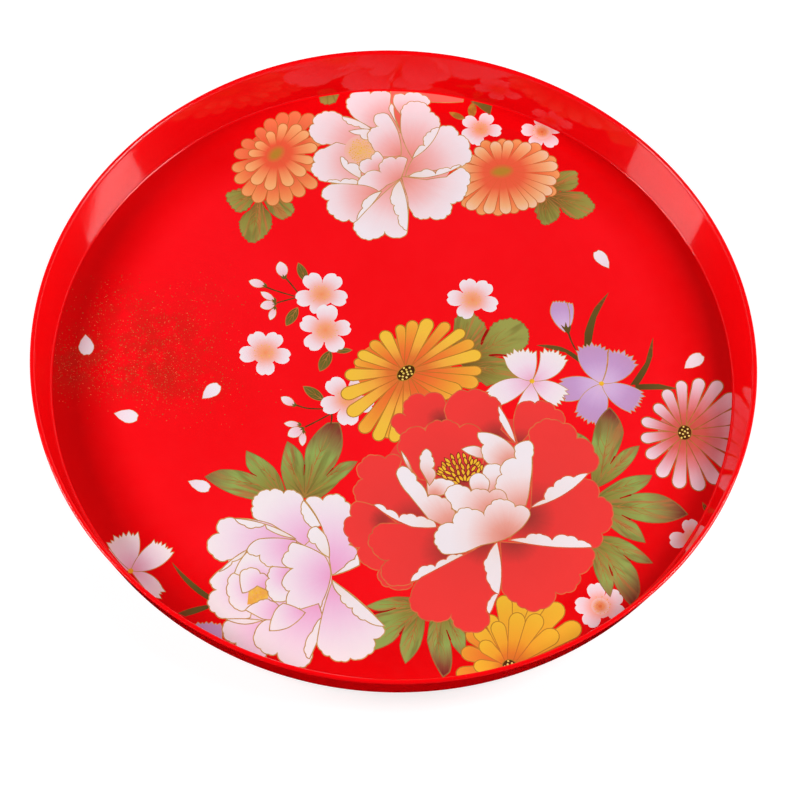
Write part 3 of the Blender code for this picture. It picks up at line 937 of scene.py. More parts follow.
def red_peony():
    piece = "red_peony"
    red = "coral"
    outer = [
        (red, 25, -27, 17, [
            (7, -37, 0.3), (1, -28, 0.6), (8, -26.5, 0.35), (8, -17, 0.5), (16, -14.5, 0.45),
            (25, -14, 0.15), (28, -27)]),
        (red, 52, -34, 22, [
            (26, -22, 0.2), (31, -11.5, 0.4), (37, -10.5, 0.4), (48, -12.5, 0.4), (53.5, -18, 0.2),
            (54, -30), (61, -37), (45, -33), (28, -28)]),
        (red, 64, -38, 22, [
            (63, -38, 0.1), (60, -26, 0.1), (61.5, -16.5, 0.45), (70, -14.6, 0.5), (80, -17, 0.5),
            (84.5, -24.5, 0.05), (74, -24, 0.05), (68, -31)]),
        ("fold", 62, -37, 20, [(52.4, -17, 0.1), (61.6, -37, 0.1), (54.2, -26.8, 0.3), (53, -22, 0.2)]),
        (red, 16, -84, 34, [
            (-10, -50, 0.25), (-1, -50, 0.6), (7, -50, 0.05), (5, -58), (26, -84, 0.1), (5, -81, 0.05),
            (-6, -77, 0.35), (-14, -71, 0.35), (-11, -62, 0.55), (-12, -53, 0.3)]),
        (red, 0, -83, 16, [
            (-4, -76, 0.1), (-13, -74, 0.4), (-15, -82, 0.5), (-15.5, -93, 0.35), (-10, -98, 0.45),
            (-6, -107, 0.2), (0, -109, 0.45), (5, -117, 0.4), (16, -115), (15, -90)]),
        (red, 34, -96, 36, [
            (26, -84, 0.03), (1, -84.5, 0.35), (-4.5, -90, 0.4), (-4, -98, 0.4), (5, -103, 0.3),
            (1, -109, 0.45), (9, -116, 0.2), (16, -114), (40, -99)]),
        ("fold", 27, -84, 32, [
            (-5, -75.2, 0.45), (1.6, -77.2, 0.4), (7.6, -81, 0.36), (16, -80, 0.3), (25.6, -84.8, 0.06),
            (14, -85.4, 0.1)]),
        ("fold", 38, -99, 28, [
            (15, -113.8, 0.3), (18, -108.4, 0.36), (26, -105, 0.4), (31, -101, 0.3), (39.6, -98.6, 0.12)]),
        (red, 48, -90, 30, [
            (54, -90, 0.1), (44, -95), (20, -111, 0.2), (15.5, -121, 0.35), (19, -129, 0.4),
            (26, -132.5, 0.45), (35, -128, 0.25), (39, -135.5, 0.35), (51, -134, 0.45), (51, -126, 0.15),
            (55.5, -117, 0.1), (49.5, -103)]),
        ("fold", 57, -114, 14, [
            (56.6, -116.2, 0.3), (52.4, -120, 0.34), (52.6, -127.4, 0.05), (54.8, -121)]),
        ("fold", 55, -90, 28, [
            (54.6, -90.2, 0.12), (50, -99, 0.28), (50.4, -106.5, 0.3), (52, -112.4, 0.3),
            (56.6, -117, 0.05), (57.4, -105, 0.05)]),
        (red, 62, -88, 30, [
            (56, -90, -0.03), (57.5, -113, 0.25), (65, -120.5, 0.3), (76, -123, 0.4), (83, -114, 0.5),
            (94, -104, 0.45), (99, -90)]),
        (red, 68, -76, 32, [
            (60, -89), (70, -71), (92, -55, 0.35), (101, -56, 0.25), (102, -63, 0.5), (108.5, -74, 0.4),
            (104, -82, 0.55), (99, -90)]),
        ("fold", 60, -89, 38, [
            (60.4, -88.8, 0.1), (68, -87, 0.4), (80.6, -87.2, 0.36), (93, -86.4, 0.3),
            (99.6, -89.6, 0.08)]),
        (red, 70, -78, 50, [
            (70, -71), (70, -46, 0.05), (68, -33, 0.3), (73, -24.5, 0.3), (84, -24.5, 0.55), (91, -32, 0.5),
            (99.5, -39, 0.55), (98, -50, 0.2), (90, -53), (78, -64)]),
        ("fold", 72, -70, 28, [
            (70, -71, 0.15), (76.4, -66, 0.4), (80.4, -59, 0.36), (83.6, -54.8, 0.4), (90, -53.2, 0.2),
            (97, -50.6, 0.17)]),
        (red, 34, -60, 30, [
            (6, -47, 0.25), (8, -35, 0.5), (17.5, -33.5, 0.45), (25, -28, 0.35), (34, -30.5, 0.6),
            (45, -32.5, 0.1), (46, -50), (40, -64), (16, -60)]),
    ]
    back = outline([
        (4, -42, 0.1), (30, -24), (66, -24, 0.1), (84, -60), (84, -90, 0.1), (50, -100), (14, -96, 0.1),
        (-6, -70, 0.1)])
    patch(piece, red, back, 40 - 66j, 60)
    petals(piece, "coral_line", 0.5, outer, 5.5)
    apex = 38 - 63j
    for ring, distance in enumerate((17.2, 14.4, 11.4, 8.4, 5.4)):
        count = 10 - ring
        for index in range(count):
            angle = math.radians(152 - (92 + 4 * ring) * (index + 0.35 * (ring % 2)) / (count - 0.6))
            limit = 18.2 - 5.5 * abs(angle - 1.85)
            spin = np.exp(1j * angle)
            middle = apex + min(distance, limit) * spin
            lens = outline([(-0.5, 0, 0.4), (0.5, 0, 0.4)])
            lean = np.exp(1j * (0.3 - 0.25 * ((index + ring) % 3)))
            patch(piece, "stamen", middle + lens * 4.3 * spin * lean, middle, 3, "deep", 0.42)
    inner = [
        ("cream", 12, -57, 12, [(6.4, -45.4, 0.15), (12.4, -57, 0.12)]),
        ("cream", 50, -46, 15, [
            (35.4, -42.3, 0.12), (40, -40.2, 0.25), (45.6, -41.4, 0.25), (46.6, -46, 0.2),
            (41.4, -45.6, 0.1)]),
        ("cream", 60, -48, 19, [
            (43, -32.6, 0.16), (52, -33.4, 0.16), (61, -40.4, 0.15), (62, -48), (56, -53),
            (50.6, -49.4, 0.34), (45.8, -44.6, 0.36), (46, -39, 0.25)]),
        ("cream", 54, -64, 13, [
            (47.6, -57.4, 0.34), (46.4, -52.4, 0.42), (50.4, -49.2, 0.3), (55, -50), (58, -56), (56, -66),
            (50, -64.6, 0.2), (48.4, -60.6, 0.36)]),
        ("cream", 46, -67, 12, [
            (40, -59.4, 0.34), (43, -54.8, 0.42), (48, -56.6, 0.36), (49.6, -61, 0.3), (47.4, -65),
            (42, -64.4, 0.2)]),
        ("cream", 24, -68, 11, [
            (19.4, -58, 0.1), (24, -59.4, 0.3), (29, -59.4, 0.3), (33, -60.8, 0.3), (30.4, -65, 0.2),
            (26, -68), (20.4, -68)]),
        ("cream", 20, -66, 22, [
            (16, -50, 0.25), (18.5, -43.4, 0.4), (21.3, -47.4, 0.25), (21.9, -53.6, 0.36), (23.6, -58, 0.1),
            (21, -63), (19.4, -60), (16.2, -54.6, 0.15)]),
        ("cream", 66, -74, 27, [
            (61, -38.6, 0.2), (67.8, -35, 0.3), (69.6, -44, 0.05), (69.2, -58, 0.05), (67.6, -70, 0.2),
            (63, -70.8, 0.2), (56, -65.8, 0.34), (53, -59.6, 0.36), (55.4, -54.4, 0.36), (55.4, -49, 0.36),
            (62, -45.4, 0.3), (61.4, -41.4, 0.2)]),
        ("cream", 52, -75, 24, [
            (29.2, -65.2, 0.34), (32, -62.2, 0.36), (37, -62.1, 0.36), (41, -64.6, 0.36),
            (45.6, -63.2, 0.34), (50, -64.4, 0.3), (54, -62.4, 0.36), (58.2, -66, 0.2), (58.6, -70),
            (50, -82), (36, -82), (34.6, -75.6, 0.34), (31.6, -71.4, 0.36)]),
        ("cream", 33, -84, 27, [
            (4.8, -58, 0.3), (7.4, -53.6, 0.3), (12.2, -56.6, 0.36), (14.8, -60.8, 0.2), (20.6, -69, 0.42),
            (27.4, -69.2, 0.42), (32.2, -74.6, 0.42), (33.4, -80.8, 0.3), (29, -83.6), (21.6, -80.6),
            (11.4, -68.4, 0.12)]),
        ("cream", 59, -87, 27, [
            (31, -98.4, 0.25), (26.4, -94.4, 0.28), (26.2, -86.4, 0.42), (33.4, -82, 0.3), (35.2, -76, 0.4),
            (42, -74.2, 0.36), (48, -77, 0.36), (51, -70.6, 0.4), (57, -68, 0.4), (62.4, -71.2, 0.42),
            (67.6, -71, 0.42), (69.4, -76, 0.12), (64, -84, 0.1), (56.4, -89.3, 0.02), (47, -92.6),
            (40, -96.6, 0.08)]),
    ]
    petals(piece, "gold_pink", 0.45, inner, 4.6)


def small_blossoms():
    piece = "small_blossoms"
    corner = outline([(30.6, 163), (34.6, 160.4, 0.08), (41, 155.8), (41.8, 162), (38, 167)])
    patch(piece, "leaf_olive", corner, 41 + 157j, 11, "vein_dark", 0.3)
    small_leaf(piece, "leaf_gold", (31.4, 152.6), (31.6, 162.4), 0.44, 0.44, 0.3, 1)
    small_leaf(piece, "leaf_gold", (28.2, 151.4), (19.6, 155.2), 0.36, 0.36, 0.3, 1)
    blossom(piece, 36.5, 146, [(255, 10.8), (145, 11), (68, 10.8), (-2, 11), (212, 10.8)])
    blossom(piece, 68.5, 147, [(95, 11), (25, 11), (245, 10.6), (-50, 11.2), (176, 11)], glow=4.6)


def left_chrysanthemum():
    piece = "left_chrysanthemum"
    tooth = 0.3
    rows = [
        ("leaf_autumn", -74, 100, 20, [
            (-84, 98.4, 0.1, -3, tooth), (-91.6, 94.6, 0.2, -5, tooth), (-84.4, 84.4, 0.2, -3, tooth),
            (-78.6, 89, 0.05), (-76, 96)]),
        ("leaf_autumn", -71, 100, 20, [
            (-72, 92), (-69, 86.6, 0.15), (-62.4, 81.8, 0.2, -4, tooth), (-56.4, 87.4, 0.2, -3, tooth),
            (-58.6, 92), (-66, 95)]),
        ("leaf_autumn", -75, 100, 34, [
            (-75, 93), (-79, 85.6, 0.2), (-83, 79.6, 0.15, -4, tooth), (-81.4, 72, 0.2, -3, tooth),
            (-76, 66.8, 0.2, -3, tooth), (-70.2, 71.6, 0.2, -4, tooth), (-67.2, 79.6, 0.28),
            (-71, 87.4, 0.05)]),
        ("leaf_autumn", -46, 172, 20, [
            (-49.4, 161), (-48.2, 156.4, 0.2, -2, tooth), (-44.4, 155.2, 0.2, -3, tooth), (-40, 157.6),
            (-38.6, 163)]),
    ]
    petals(piece, "vein_dark", 0.35, rows)
    leaf_veins(piece, (-75, 92), (-76, 69), 0.24, 4)
    leaf_veins(piece, (-79, 93), (-89, 91), 0.22, 2)
    leaf_veins(piece, (-69, 91), (-59, 85), 0.22, 2)
    centre = -68.5 + 121.6j
    turn = circle(32)
    patch(piece, "orange_back", centre + 15 * turn, centre, 28)
    back = [
        (-51.8, 148, 7), (-59.7, 149, 6.6), (-66.8, 147.8, 7), (-73.8, 143.4, 7), (-79.4, 136.8, 6),
        (-86.8, 127.6, 6.4), (-90, 119.8, 6.6)]
    gilded = [
        (-90, 110, 6.2), (-87.6, 102.4, 6.6), (-82.4, 94.6, 6.6), (-76, 90.8, 7), (-67.6, 89.6, 6.6),
        (-59.8, 92, 6.6), (-53, 96.4, 7), (-46.4, 102.4, 7), (-45, 114, 7), (-45, 133, 7)]
    front = [
        (-66, 141, 5.2), (-57.8, 140.8, 6.4), (-53, 136.8, 5.6), (-47.6, 127.8, 6.6), (-48.8, 118.6, 5.6),
        (-52.6, 109.6, 6.8), (-59.6, 102.2, 6.6), (-70, 98.8, 6.4), (-78.4, 101.8, 6.8),
        (-83.2, 110.4, 5.8), (-82.8, 120.8, 5), (-79.8, 127.6, 5.4), (-73.2, 135.4, 5)]
    ray_ring(piece, "orange_back", centre, back, "orange_line", 0.42)
    ray_ring(piece, "orange_tip", centre, gilded, "orange_line", 0.42)
    ray_ring(piece, "orange", centre, front, "orange_line", 0.42)
    oval = (5.9 * turn.real + 4.2j * turn.imag) * np.exp(1.0j)
    patch(piece, "eye", centre + oval, centre - 30, 20)


def right_chrysanthemum():
    piece = "right_chrysanthemum"
    tooth = 0.3
    rows = [
        ("leaf_autumn", 68, 110, 24, [
            (75, 117), (79, 122.6, 0.1), (86.4, 123.8, 0.15, -3, tooth), (87.2, 114.4, 0.2, -5, tooth),
            (82.4, 111.2, 0.1, -2, tooth), (76, 111)]),
        ("leaf_autumn", 68, 110, 24, [
            (70, 107), (66.6, 99, 0.1, -3, tooth), (71.4, 89.4, 0.2, -6, tooth), (78.6, 95, 0.2, -5, tooth),
            (76.8, 104, 0.1)]),
        ("leaf_autumn", 68, 110, 34, [
            (72, 108.4), (79, 110, 0.05), (90, 111, 0.12, -5, tooth), (97, 102.6, 0.2, -6, tooth),
            (88, 94.4, 0.22, -7, tooth), (80, 100, 0.15)]),
    ]
    petals(piece, "vein_dark", 0.35, rows)
    leaf_veins(piece, (74, 107), (94, 101.6), 0.22, 4)
    leaf_veins(piece, (76, 113), (86, 119), 0.22, 2)
    leaf_veins(piece, (72, 105), (72, 93), 0.22, 2)
    centre = 48.4 + 120.4j
    turn = circle(32)
    patch(piece, "peach", centre + 19 * turn.real + 15j * turn.imag, centre, 40)
    back = [
        (38.2, 138.8, 6), (48.2, 140.8, 5.6), (56.8, 140.9, 6), (67.6, 138.8, 7), (76.4, 130.2, 6.4),
        (78.7, 120.8, 6.6), (77, 109, 7), (67, 100.5, 7), (56.4, 95.2, 6.4), (47.4, 93, 6), (38.2, 93, 6),
        (29.4, 97.4, 5), (26, 110, 7), (25, 128, 7)]
    front = [
        (44, 138.8, 6.2), (51.8, 140.2, 5.6), (62.2, 139.2, 6.6), (72.2, 133.8, 6.6), (77.4, 126.4, 6.6),
        (77, 116.2, 6.2), (75, 109, 6.4), (71.2, 103.8, 6.6), (66.6, 99.8, 6), (61.6, 97.6, 6.6),
        (51.8, 94.4, 6.2), (42.2, 93.8, 6.2), (32.2, 95.6, 6.6), (27, 104, 6), (26, 113, 6), (25, 121, 6),
        (27, 129, 6), (34.4, 134, 6.4)]
    ray_ring(piece, "orange_tip", centre, back, "orange_line", 0.42)
    ray_ring(piece, "peach", centre, front, "orange_line", 0.42)
    oval = (6.6 * turn.real + 4.3j * turn.imag) * np.exp(0.25j)
    patch(piece, "eye", centre + oval, centre - 30, 20)


def top_peony():
    piece = "top_peony"
    pink = "blush"
    rows = [
        ("salmon", 8, 140, 26, [
            (-12, 168), (27, 168), (26.4, 162.6, 0.05), (9, 161), (-5, 141), (-12, 158)]),
        (pink, -9, 144, 27, [
            (-11.6, 158), (-11.6, 163.6, 0.4), (-16.8, 165.6, 0.4), (-22.4, 163.6, 0.42), (-28, 165, 0.36),
            (-33, 160.4, 0.3), (-33, 152.4, 0.2), (-28, 146.4, 0.05), (-19, 141.4), (-5, 140)]),
        (pink, -3, 148, 18, [
            (-4, 150, 0.1), (-9.4, 157, 0.2), (-10, 163, 0.42), (-4.4, 164.4, 0.45), (0.2, 166.2, 0.4),
            (5, 165, 0.42), (9, 160, 0.1)]),
        ("fold", -5, 142, 17, [(-11, 158.4, 0.25), (-12, 154), (-5.5, 142, -0.1), (-9.5, 155, 0.3)]),
        (pink, 0, 124, 37, [
            (2, 124.5, 0.08), (-5, 141, 0.05), (-5.5, 152, 0.4), (1, 160.5, 0.45), (9.5, 154.5, 0.35),
            (15, 146, 0.2), (9, 133, 0.1)]),
        (pink, 0, 118, 34, [
            (-1, 113, 0.1), (3, 126, -0.05), (15, 145, 0.6), (25, 141, 0.5), (31, 133, 0.45),
            (30, 124, 0.2), (26, 121), (5, 116)]),
        ("fold", 2, 124, 24, [
            (15, 145, 0.18), (2, 124.5, 0.1), (4.5, 131.5, 0.5), (8, 133, 0.4), (10.5, 142, 0.35)]),
        (pink, -4, 114, 35, [
            (-3, 113), (10, 112, 0.05), (20, 114.5, 0.05), (27, 121, 0.5), (31, 110, 0.4), (23, 98.5, 0.35),
            (21.5, 91, 0.45), (13, 89.5, 0.5), (4, 91, 0.15), (0, 102)]),
        ("fold", 1, 113, 28, [
            (0.6, 113.2, 0.05), (9, 113.2, 0.12), (27.4, 122.2, 0.3), (22, 119.8, 0.4), (14.5, 116, 0.5),
            (7, 117, 0.2)]),
        (pink, -22, 130, 32, [
            (-27, 128), (-24, 140, 0.1), (-30, 146.5, 0.2), (-36, 148, 0.35), (-47, 149, 0.45),
            (-50.5, 142, 0.45), (-50.5, 133, 0.4), (-43, 130)]),
        ("fold", -20, 141, 17, [(-36, 148, 0.15), (-20.5, 141.5, 0.3), (-27, 142.5, 0.3)]),
        (pink, -22, 120, 29, [
            (-22, 128), (-38, 131.4), (-44, 127, 0.5), (-48, 118, 0.5), (-46, 109, 0.4), (-40, 107, 0.35),
            (-34, 107, 0.35), (-25, 108)]),
        ("fold", -24, 107, 18, [(-41, 106.5, 0.3), (-34, 107.3, 0.3), (-25, 108, 0.1), (-26, 105)]),
    ]
    front = [
        ("fold", -20, 137, 12, [
            (-32, 139, 0.12), (-22, 141, 0.3), (-20.5, 136, 0.45), (-24, 134.5, 0.3), (-26, 137, 0.2)]),
        ("fold", -24, 110, 16, [
            (-35.2, 122.4, 0.16), (-33, 116, 0.1), (-23.4, 109.8), (-24, 113.6, 0.3), (-25.6, 118, 0.36),
            (-31, 118.4, 0.3)]),
        (pink, -4, 126, 25, [
            (-4, 126, 0.1), (-7, 142, 0.05), (-12, 151, 0.55), (-19.5, 148, 0.4), (-16, 143, 0.3),
            (-21, 140, 0.35), (-20, 132, 0.2), (-14, 124.5, 0.1)]),
        (pink, -13, 115, 14, [
            (-14, 114, 0.1), (-21, 113, 0.45), (-25, 118, 0.5), (-19, 122, 0.3), (-16, 127.5, 0.2),
            (-12, 120)]),
        (pink, -3, 110, 23, [
            (-3, 112, 0.02), (-0.5, 124, 0.5), (-6.5, 123.5, 0.5), (-13.5, 121, 0.35), (-13.5, 114.5, 0.45),
            (-22, 112.5, 0.35), (-24.5, 105, 0.4), (-18, 100, 0.1), (-10, 107, 0.05)]),
        (pink, -14, 101, 30, [
            (-25, 106, 0.05), (-37, 105.5, 0.35), (-43, 99, 0.45), (-39, 95.5, 0.45), (-36, 86.5, 0.45),
            (-28, 84.5, 0.4), (-24, 83), (-13, 102, 0.2)]),
        ("fold", -12, 104, 22, [(-24, 84, 0.05), (-12.5, 103, 0.2), (-20, 98, 0.35), (-21.5, 92, 0.2)]),
        (pink, -2, 112, 38, [
            (-3, 112, 0.04), (-24, 84, 0.4), (-24, 77.5, 0.45), (-15, 74, 0.4), (-9.5, 79.5, 0.45),
            (-3, 75.5, 0.4), (2, 80, 0.05), (1, 100)]),
        ("fold", -3, 111, 32, [
            (-3.5, 110.5, 0.12), (2, 80.5, 0.35), (-3, 89, 0.35), (-5.5, 95, 0.35), (-7.5, 101, 0.2)]),
    ]
    back = outline([
        (-34, 140, 0.1), (-12, 140), (6, 150, 0.1), (24, 124, 0.1), (10, 100), (-6, 88), (-26, 96, 0.1),
        (-38, 112, 0.1)])
    patch(piece, pink, back, -6 + 118j, 90)
    petals(piece, "gold", 0.45, rows, 4.0)
    turn = circle(32)
    patch(piece, "pollen_cloud", -25.4 + 127j + 8.2 * turn.real + 9.8j * turn.imag, -24.6 + 127j, 10)
    for index in range(95):
        spread = math.sqrt(index / 95) * np.exp(1j * GOLDEN_ANGLE * index)
        wander = 0.7 * (rng.random() - 0.5) + 0.7j * (rng.random() - 0.5)
        spot = -24.6 + 127j + 6.2 * spread.real + 8.2j * spread.imag + wander
        dot(piece, "pollen_gold" if index % 3 else "stamen", spot, 0.24 + 0.24 * rng.random())
    petals(piece, "gold", 0.45, front, 4.0)


def pink_daisy():
    piece = "pink_daisy"
    centre = 143.4 - 24.8j
    turn = circle(32)
    patch(piece, "daisy", centre + 13 * turn, centre, 29)
    tips = [
        (133.8, -1.6, 6.2), (151.2, 6, 6.4), (128.6, -10.4, 6), (122, -30, 6.2), (131.2, -50, 6.8),
        (150.8, -56, 7.4), (161, 5.2, 6.6), (159.4, -51.6, 7.4), (172, -12, 8), (173, -33, 8),
        (141.6, 4, 5.8), (122.2, -19.8, 6), (125, -39.8, 6.4), (140.4, -55.4, 7), (169, -2, 8),
        (174, -22, 8), (168, -43, 8)]
    ray_ring(piece, "daisy", centre, tips, "vein", 0.5)
    seed_disc(piece, centre, 4.1, 3.5, 1.45, "vein", 10, 1.12, 0.52)


def edge_blossoms():
    piece = "edge_blossoms"
    blossom(piece, 148, -82, [(105, 11), (185, 12), (252, 12), (30, 12), (-40, 12)])
    blossom(piece, 104, -119.5, [(105, 12), (182, 12), (240, 12), (37, 12), (-18, 12)], glow=4.2)
    small_leaf(piece, "leaf_dark", (152, -62), (156, -70), 0.25, 0.25, 0.25, 0)


for draw in (
    loose_petals, lower_left_pinks, autumn_leaf, right_pinks, edge_blossoms, left_leaves, bottom_leaves,
    right_leaves, bottom_chrysanthemum, left_peony, cherry_sprays, yellow_chrysanthemum, red_peony,
    small_blossoms, left_chrysanthemum, right_chrysanthemum, top_peony, pink_daisy,
):
    draw()


# ------------------------------------------------------------------------------------------
# The flat partition: every shape's borders cut one sheet, and each triangle belongs to the
# topmost shape that covers it, so nothing overlaps and nothing is stacked.
# ------------------------------------------------------------------------------------------
def offset_loop(loop, distance):
    """The closed anticlockwise loop moved outwards by distance, with limited mitres."""
    ahead = np.roll(loop, -1) - loop
    ahead = ahead / np.maximum(abs(ahead), 1e-9)
    behind = np.roll(ahead, 1)
    normal = -1j * (ahead + behind)
    length = abs(normal)
    normal = normal / np.maximum(length, 1e-9)
    cosine = np.maximum(length / 2, 0.55)
    return loop + normal * distance / cosine


def ribbon(path, half):
    """The closed outline of a line of varying width."""
    ahead = np.diff(path)
    ahead = ahead / np.maximum(abs(ahead), 1e-9)
    middle = np.concatenate([ahead[:1], ahead[:-1] + ahead[1:], ahead[-1:]])
    normal = 1j * middle / np.maximum(abs(middle), 1e-9)
    left = path + normal * half
    right = path - normal * half
    tip = path[-1] + ahead[-1] * half[-1]
    tail = path[0] - ahead[0] * half[0]
    return np.concatenate([right, [tip], left[::-1], [tail]])


def winding(points, loop):
    """How many times the closed loop goes round each point."""
    total = np.zeros(len(points), int)
    end = np.roll(loop, -1)
    for first in range(0, len(points), BATCH):
        some = points[first : first + BATCH, None]
        upward = (loop.imag <= some.imag) & (end.imag > some.imag)
        downward = (loop.imag > some.imag) & (end.imag <= some.imag)
        side = ((end - loop).conjugate() * (some - loop)).imag
        total[first : first + BATCH] = (upward & (side > 0)).sum(1) - (downward & (side < 0)).sum(1)
    return total


def inside(points, loop, among=None):
    """Indices of the points that the loop goes round."""
    near = (points.real > loop.real.min()) & (points.real < loop.real.max())
    near &= (points.imag > loop.imag.min()) & (points.imag < loop.imag.max())
    if among is not None:
        near &= among
    found = np.flatnonzero(near)
    return found[winding(points[found], loop) > 0] if len(found) else found


def outline_distance(points, loop):
    """Distance in millimetres from each point to the closed loop."""
    run = np.roll(loop, -1) - loop
    square = np.maximum(abs(run) ** 2, 1e-12)
    best = np.full(len(points), EDGE_LIMIT)
    for first in range(0, len(points), BATCH):
        away = points[first : first + BATCH, None] - loop
        share = np.clip((run.conjugate() * away).real / square, 0, 1)
        best[first : first + BATCH] = np.minimum(abs(away - share * run).min(1), EDGE_LIMIT)
    return best


def borders(shape):
    """(outer loop, inner loop or None) of a printed shape."""
    if shape["open"]:
        return ribbon(shape["loop"], shape["half"]), None
    if shape["line"] is None:
        return shape["loop"], None
    return offset_loop(shape["loop"], shape["half"]), offset_loop(shape["loop"], -shape["half"])


def border_points():
    """The points of every border, the print's own edge first, and the pairs of them whose edge shows."""
    round_edge = np.exp(2j * np.pi * np.arange(PRINT_EDGE_STEPS) / PRINT_EDGE_STEPS)
    loops = [(-1, PRINT_RADIUS * round_edge)]
    for index, shape in enumerate(SHAPES):
        loops += [(index, loop) for loop in (shape["outer"], shape["inner"]) if loop is not None]
    points = np.concatenate([loop for _, loop in loops])
    owners = np.concatenate([np.full(len(loop), index) for index, loop in loops])
    hidden = np.full(len(points), -1)
    for index, shape in enumerate(SHAPES):
        hidden[inside(points, shape["outer"], owners < index)] = index
    hidden[owners < 0] = -1
    outside = abs(points) > PRINT_RADIUS + BORDER_MARGIN
    edges = []
    first = 0
    for _, loop in loops:
        ring = first + np.arange(len(loop))
        following = np.roll(ring, -1)
        buried = (hidden[ring] >= 0) & (hidden[ring] == hidden[following])
        keep = ~buried & ~(outside[ring] & outside[following])
        edges.append(np.stack([ring[keep], following[keep]], 1))
        first += len(loop)
    return points, np.concatenate(edges)


def filling_points():
    """A triangular grid, and a row of points just inside each larger shape, for smooth colour."""
    rows = np.arange(-PRINT_RADIUS, PRINT_RADIUS, GRID_STEP * math.sqrt(0.75))
    columns = np.arange(-PRINT_RADIUS, PRINT_RADIUS, GRID_STEP)
    shift = 0.5 * GRID_STEP * (np.arange(len(rows)) % 2)
    grid = (columns[None, :] + shift[:, None] + 1j * rows[:, None]).ravel()
    large = [s for s in SHAPES if not s["open"] and s["reach"] > LARGE_REACH]
    rims = np.concatenate([offset_loop(s["loop"], -s["half"] - RIM_INSET)[::2] for s in large])
    filling = np.concatenate([grid, rims])
    return filling[abs(filling) < PRINT_RADIUS - BORDER_MARGIN]


def partition():
    """(points, triangles, owner): owner is 2 x shape index, plus 1 on its line, or -1 on the ground."""
    points, edges = border_points()
    used = np.unique(edges)
    renumber = np.full(len(points), -1)
    renumber[used] = np.arange(len(used))
    vertices = [Vector((p.real, p.imag)) for p in np.concatenate([points[used], filling_points()])]
    result = geometry.delaunay_2d_cdt(vertices, renumber[edges].tolist(), [], 0, NEAR_POINT, False)
    flat = np.array([complex(*spot) for spot in result[0]])
    triangles = np.array(result[2])
    corners = flat[triangles]
    area = ((corners[:, 1] - corners[:, 0]).conjugate() * (corners[:, 2] - corners[:, 0])).imag / 2
    centres = corners.mean(1)
    keep = (area > SLIVER_AREA) & (abs(centres) < PRINT_RADIUS)
    triangles = triangles[keep]
    centres = centres[keep]
    owner = np.full(len(centres), -1)
    for index, shape in enumerate(SHAPES):
        outer = inside(centres, shape["outer"])
        if shape["inner"] is None:
            owner[outer] = 2 * index
            continue
        owner[outer] = 2 * index + 1
        owner[inside(centres, shape["inner"])] = 2 * index
    return flat, triangles, owner


def dust_density(points):
    """How thickly the gold dust lies, from 0 to 1: the sum of oval clouds (x, y, width, height, peak)."""
    clouds = [
        (-132, -8, 30, 16, 0.95), (-158, -10, 10, 14, 0.9), (-112, 12, 22, 12, 0.7),
        (-104, -18, 26, 13, 0.55), (-140, 26, 20, 12, 0.45), (-96, 34, 16, 10, 0.25)]
    total = np.zeros(len(points))
    for x, y, wide, high, peak in clouds:
        total += peak * np.exp(-(((points.real - x) / wide) ** 2) - ((points.imag - y) / high) ** 2)
    return np.clip(total, 0, 1)


def print_piece(name, inks, flat, triangles, owner):
    """One mesh object of the print. Its vertices carry how far along its petal and from its outline each
    lies, and its place in the petal's fan of streaks. Each shape has vertices of its own."""
    keys = owner[:, None] * (len(flat) + 1) + triangles
    unique, index = np.unique(keys, return_inverse=True)
    faces = index.reshape(triangles.shape)
    vertex_owner = np.floor_divide(unique, len(flat) + 1)
    places = flat[unique - vertex_owner * (len(flat) + 1)]
    along = np.zeros(len(places))
    edge = np.full(len(places), EDGE_LIMIT)
    fan = np.zeros((len(places), 3))
    for value in np.unique(vertex_owner):
        own = np.flatnonzero(vertex_owner == value)
        if value < 0:
            along[own] = dust_density(places[own])
            continue
        shape = SHAPES[value // 2]
        away = places[own] - shape["root"]
        distance = abs(away)
        along[own] = distance / shape["reach"]
        fan[own, 0] = np.angle(away * shape["turn"]) * FAN_LANES
        fan[own, 1] = distance
        fan[own, 2] = value * FAN_STEP
        if not shape["open"]:
            edge[own] = outline_distance(places[own], shape["loop"])
    mesh = bpy.data.meshes.new(name)
    co = np.stack([places.real * MM, places.imag * MM, np.full(len(places), FLOOR_TOP)], 1)
    mesh.from_pydata(co.tolist(), [], faces.tolist())
    for title, values in (("along", along), ("edge", edge)):
        mesh.attributes.new(title, "FLOAT", "POINT").data.foreach_set("value", values.astype(np.float32))
    vectors = mesh.attributes.new("fan", "FLOAT_VECTOR", "POINT").data
    vectors.foreach_set("vector", fan.astype(np.float32).ravel())
    names = sorted(set(inks))
    for ink in names:
        mesh.materials.append(INKS[ink])
    number = {ink: place for place, ink in enumerate(names)}
    mesh.polygons.foreach_set("material_index", [number[ink] for ink in inks])
    mesh.update()
    piece = bpy.data.objects.new(name, mesh)
    bpy.context.scene.collection.objects.link(piece)
    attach(piece, "root")
    return piece


def print_floor():
    """One mesh object for the ground and one for each printed piece, out of the one flat sheet."""
    for shape in SHAPES:
        shape["outer"], shape["inner"] = borders(shape)
        middle = shape["loop"].mean() - shape["root"]
        shape["turn"] = np.conj(middle) / max(abs(middle), 1e-6)
    flat, triangles, owner = partition()
    names = np.array(["printed_ground"] + [shape["piece"] for shape in SHAPES])
    piece_of = names[np.where(owner < 0, 0, owner // 2 + 1)]
    for name in dict.fromkeys(names):
        chosen = piece_of == name
        inks = ["ground" if o < 0 else SHAPES[o // 2]["line" if o % 2 else "ink"] for o in owner[chosen]]
        piece = print_piece(name, inks, flat, triangles[chosen], owner[chosen])
        if name == "printed_ground":
            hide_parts("printed_foil", "clear_glaze")


print_floor()


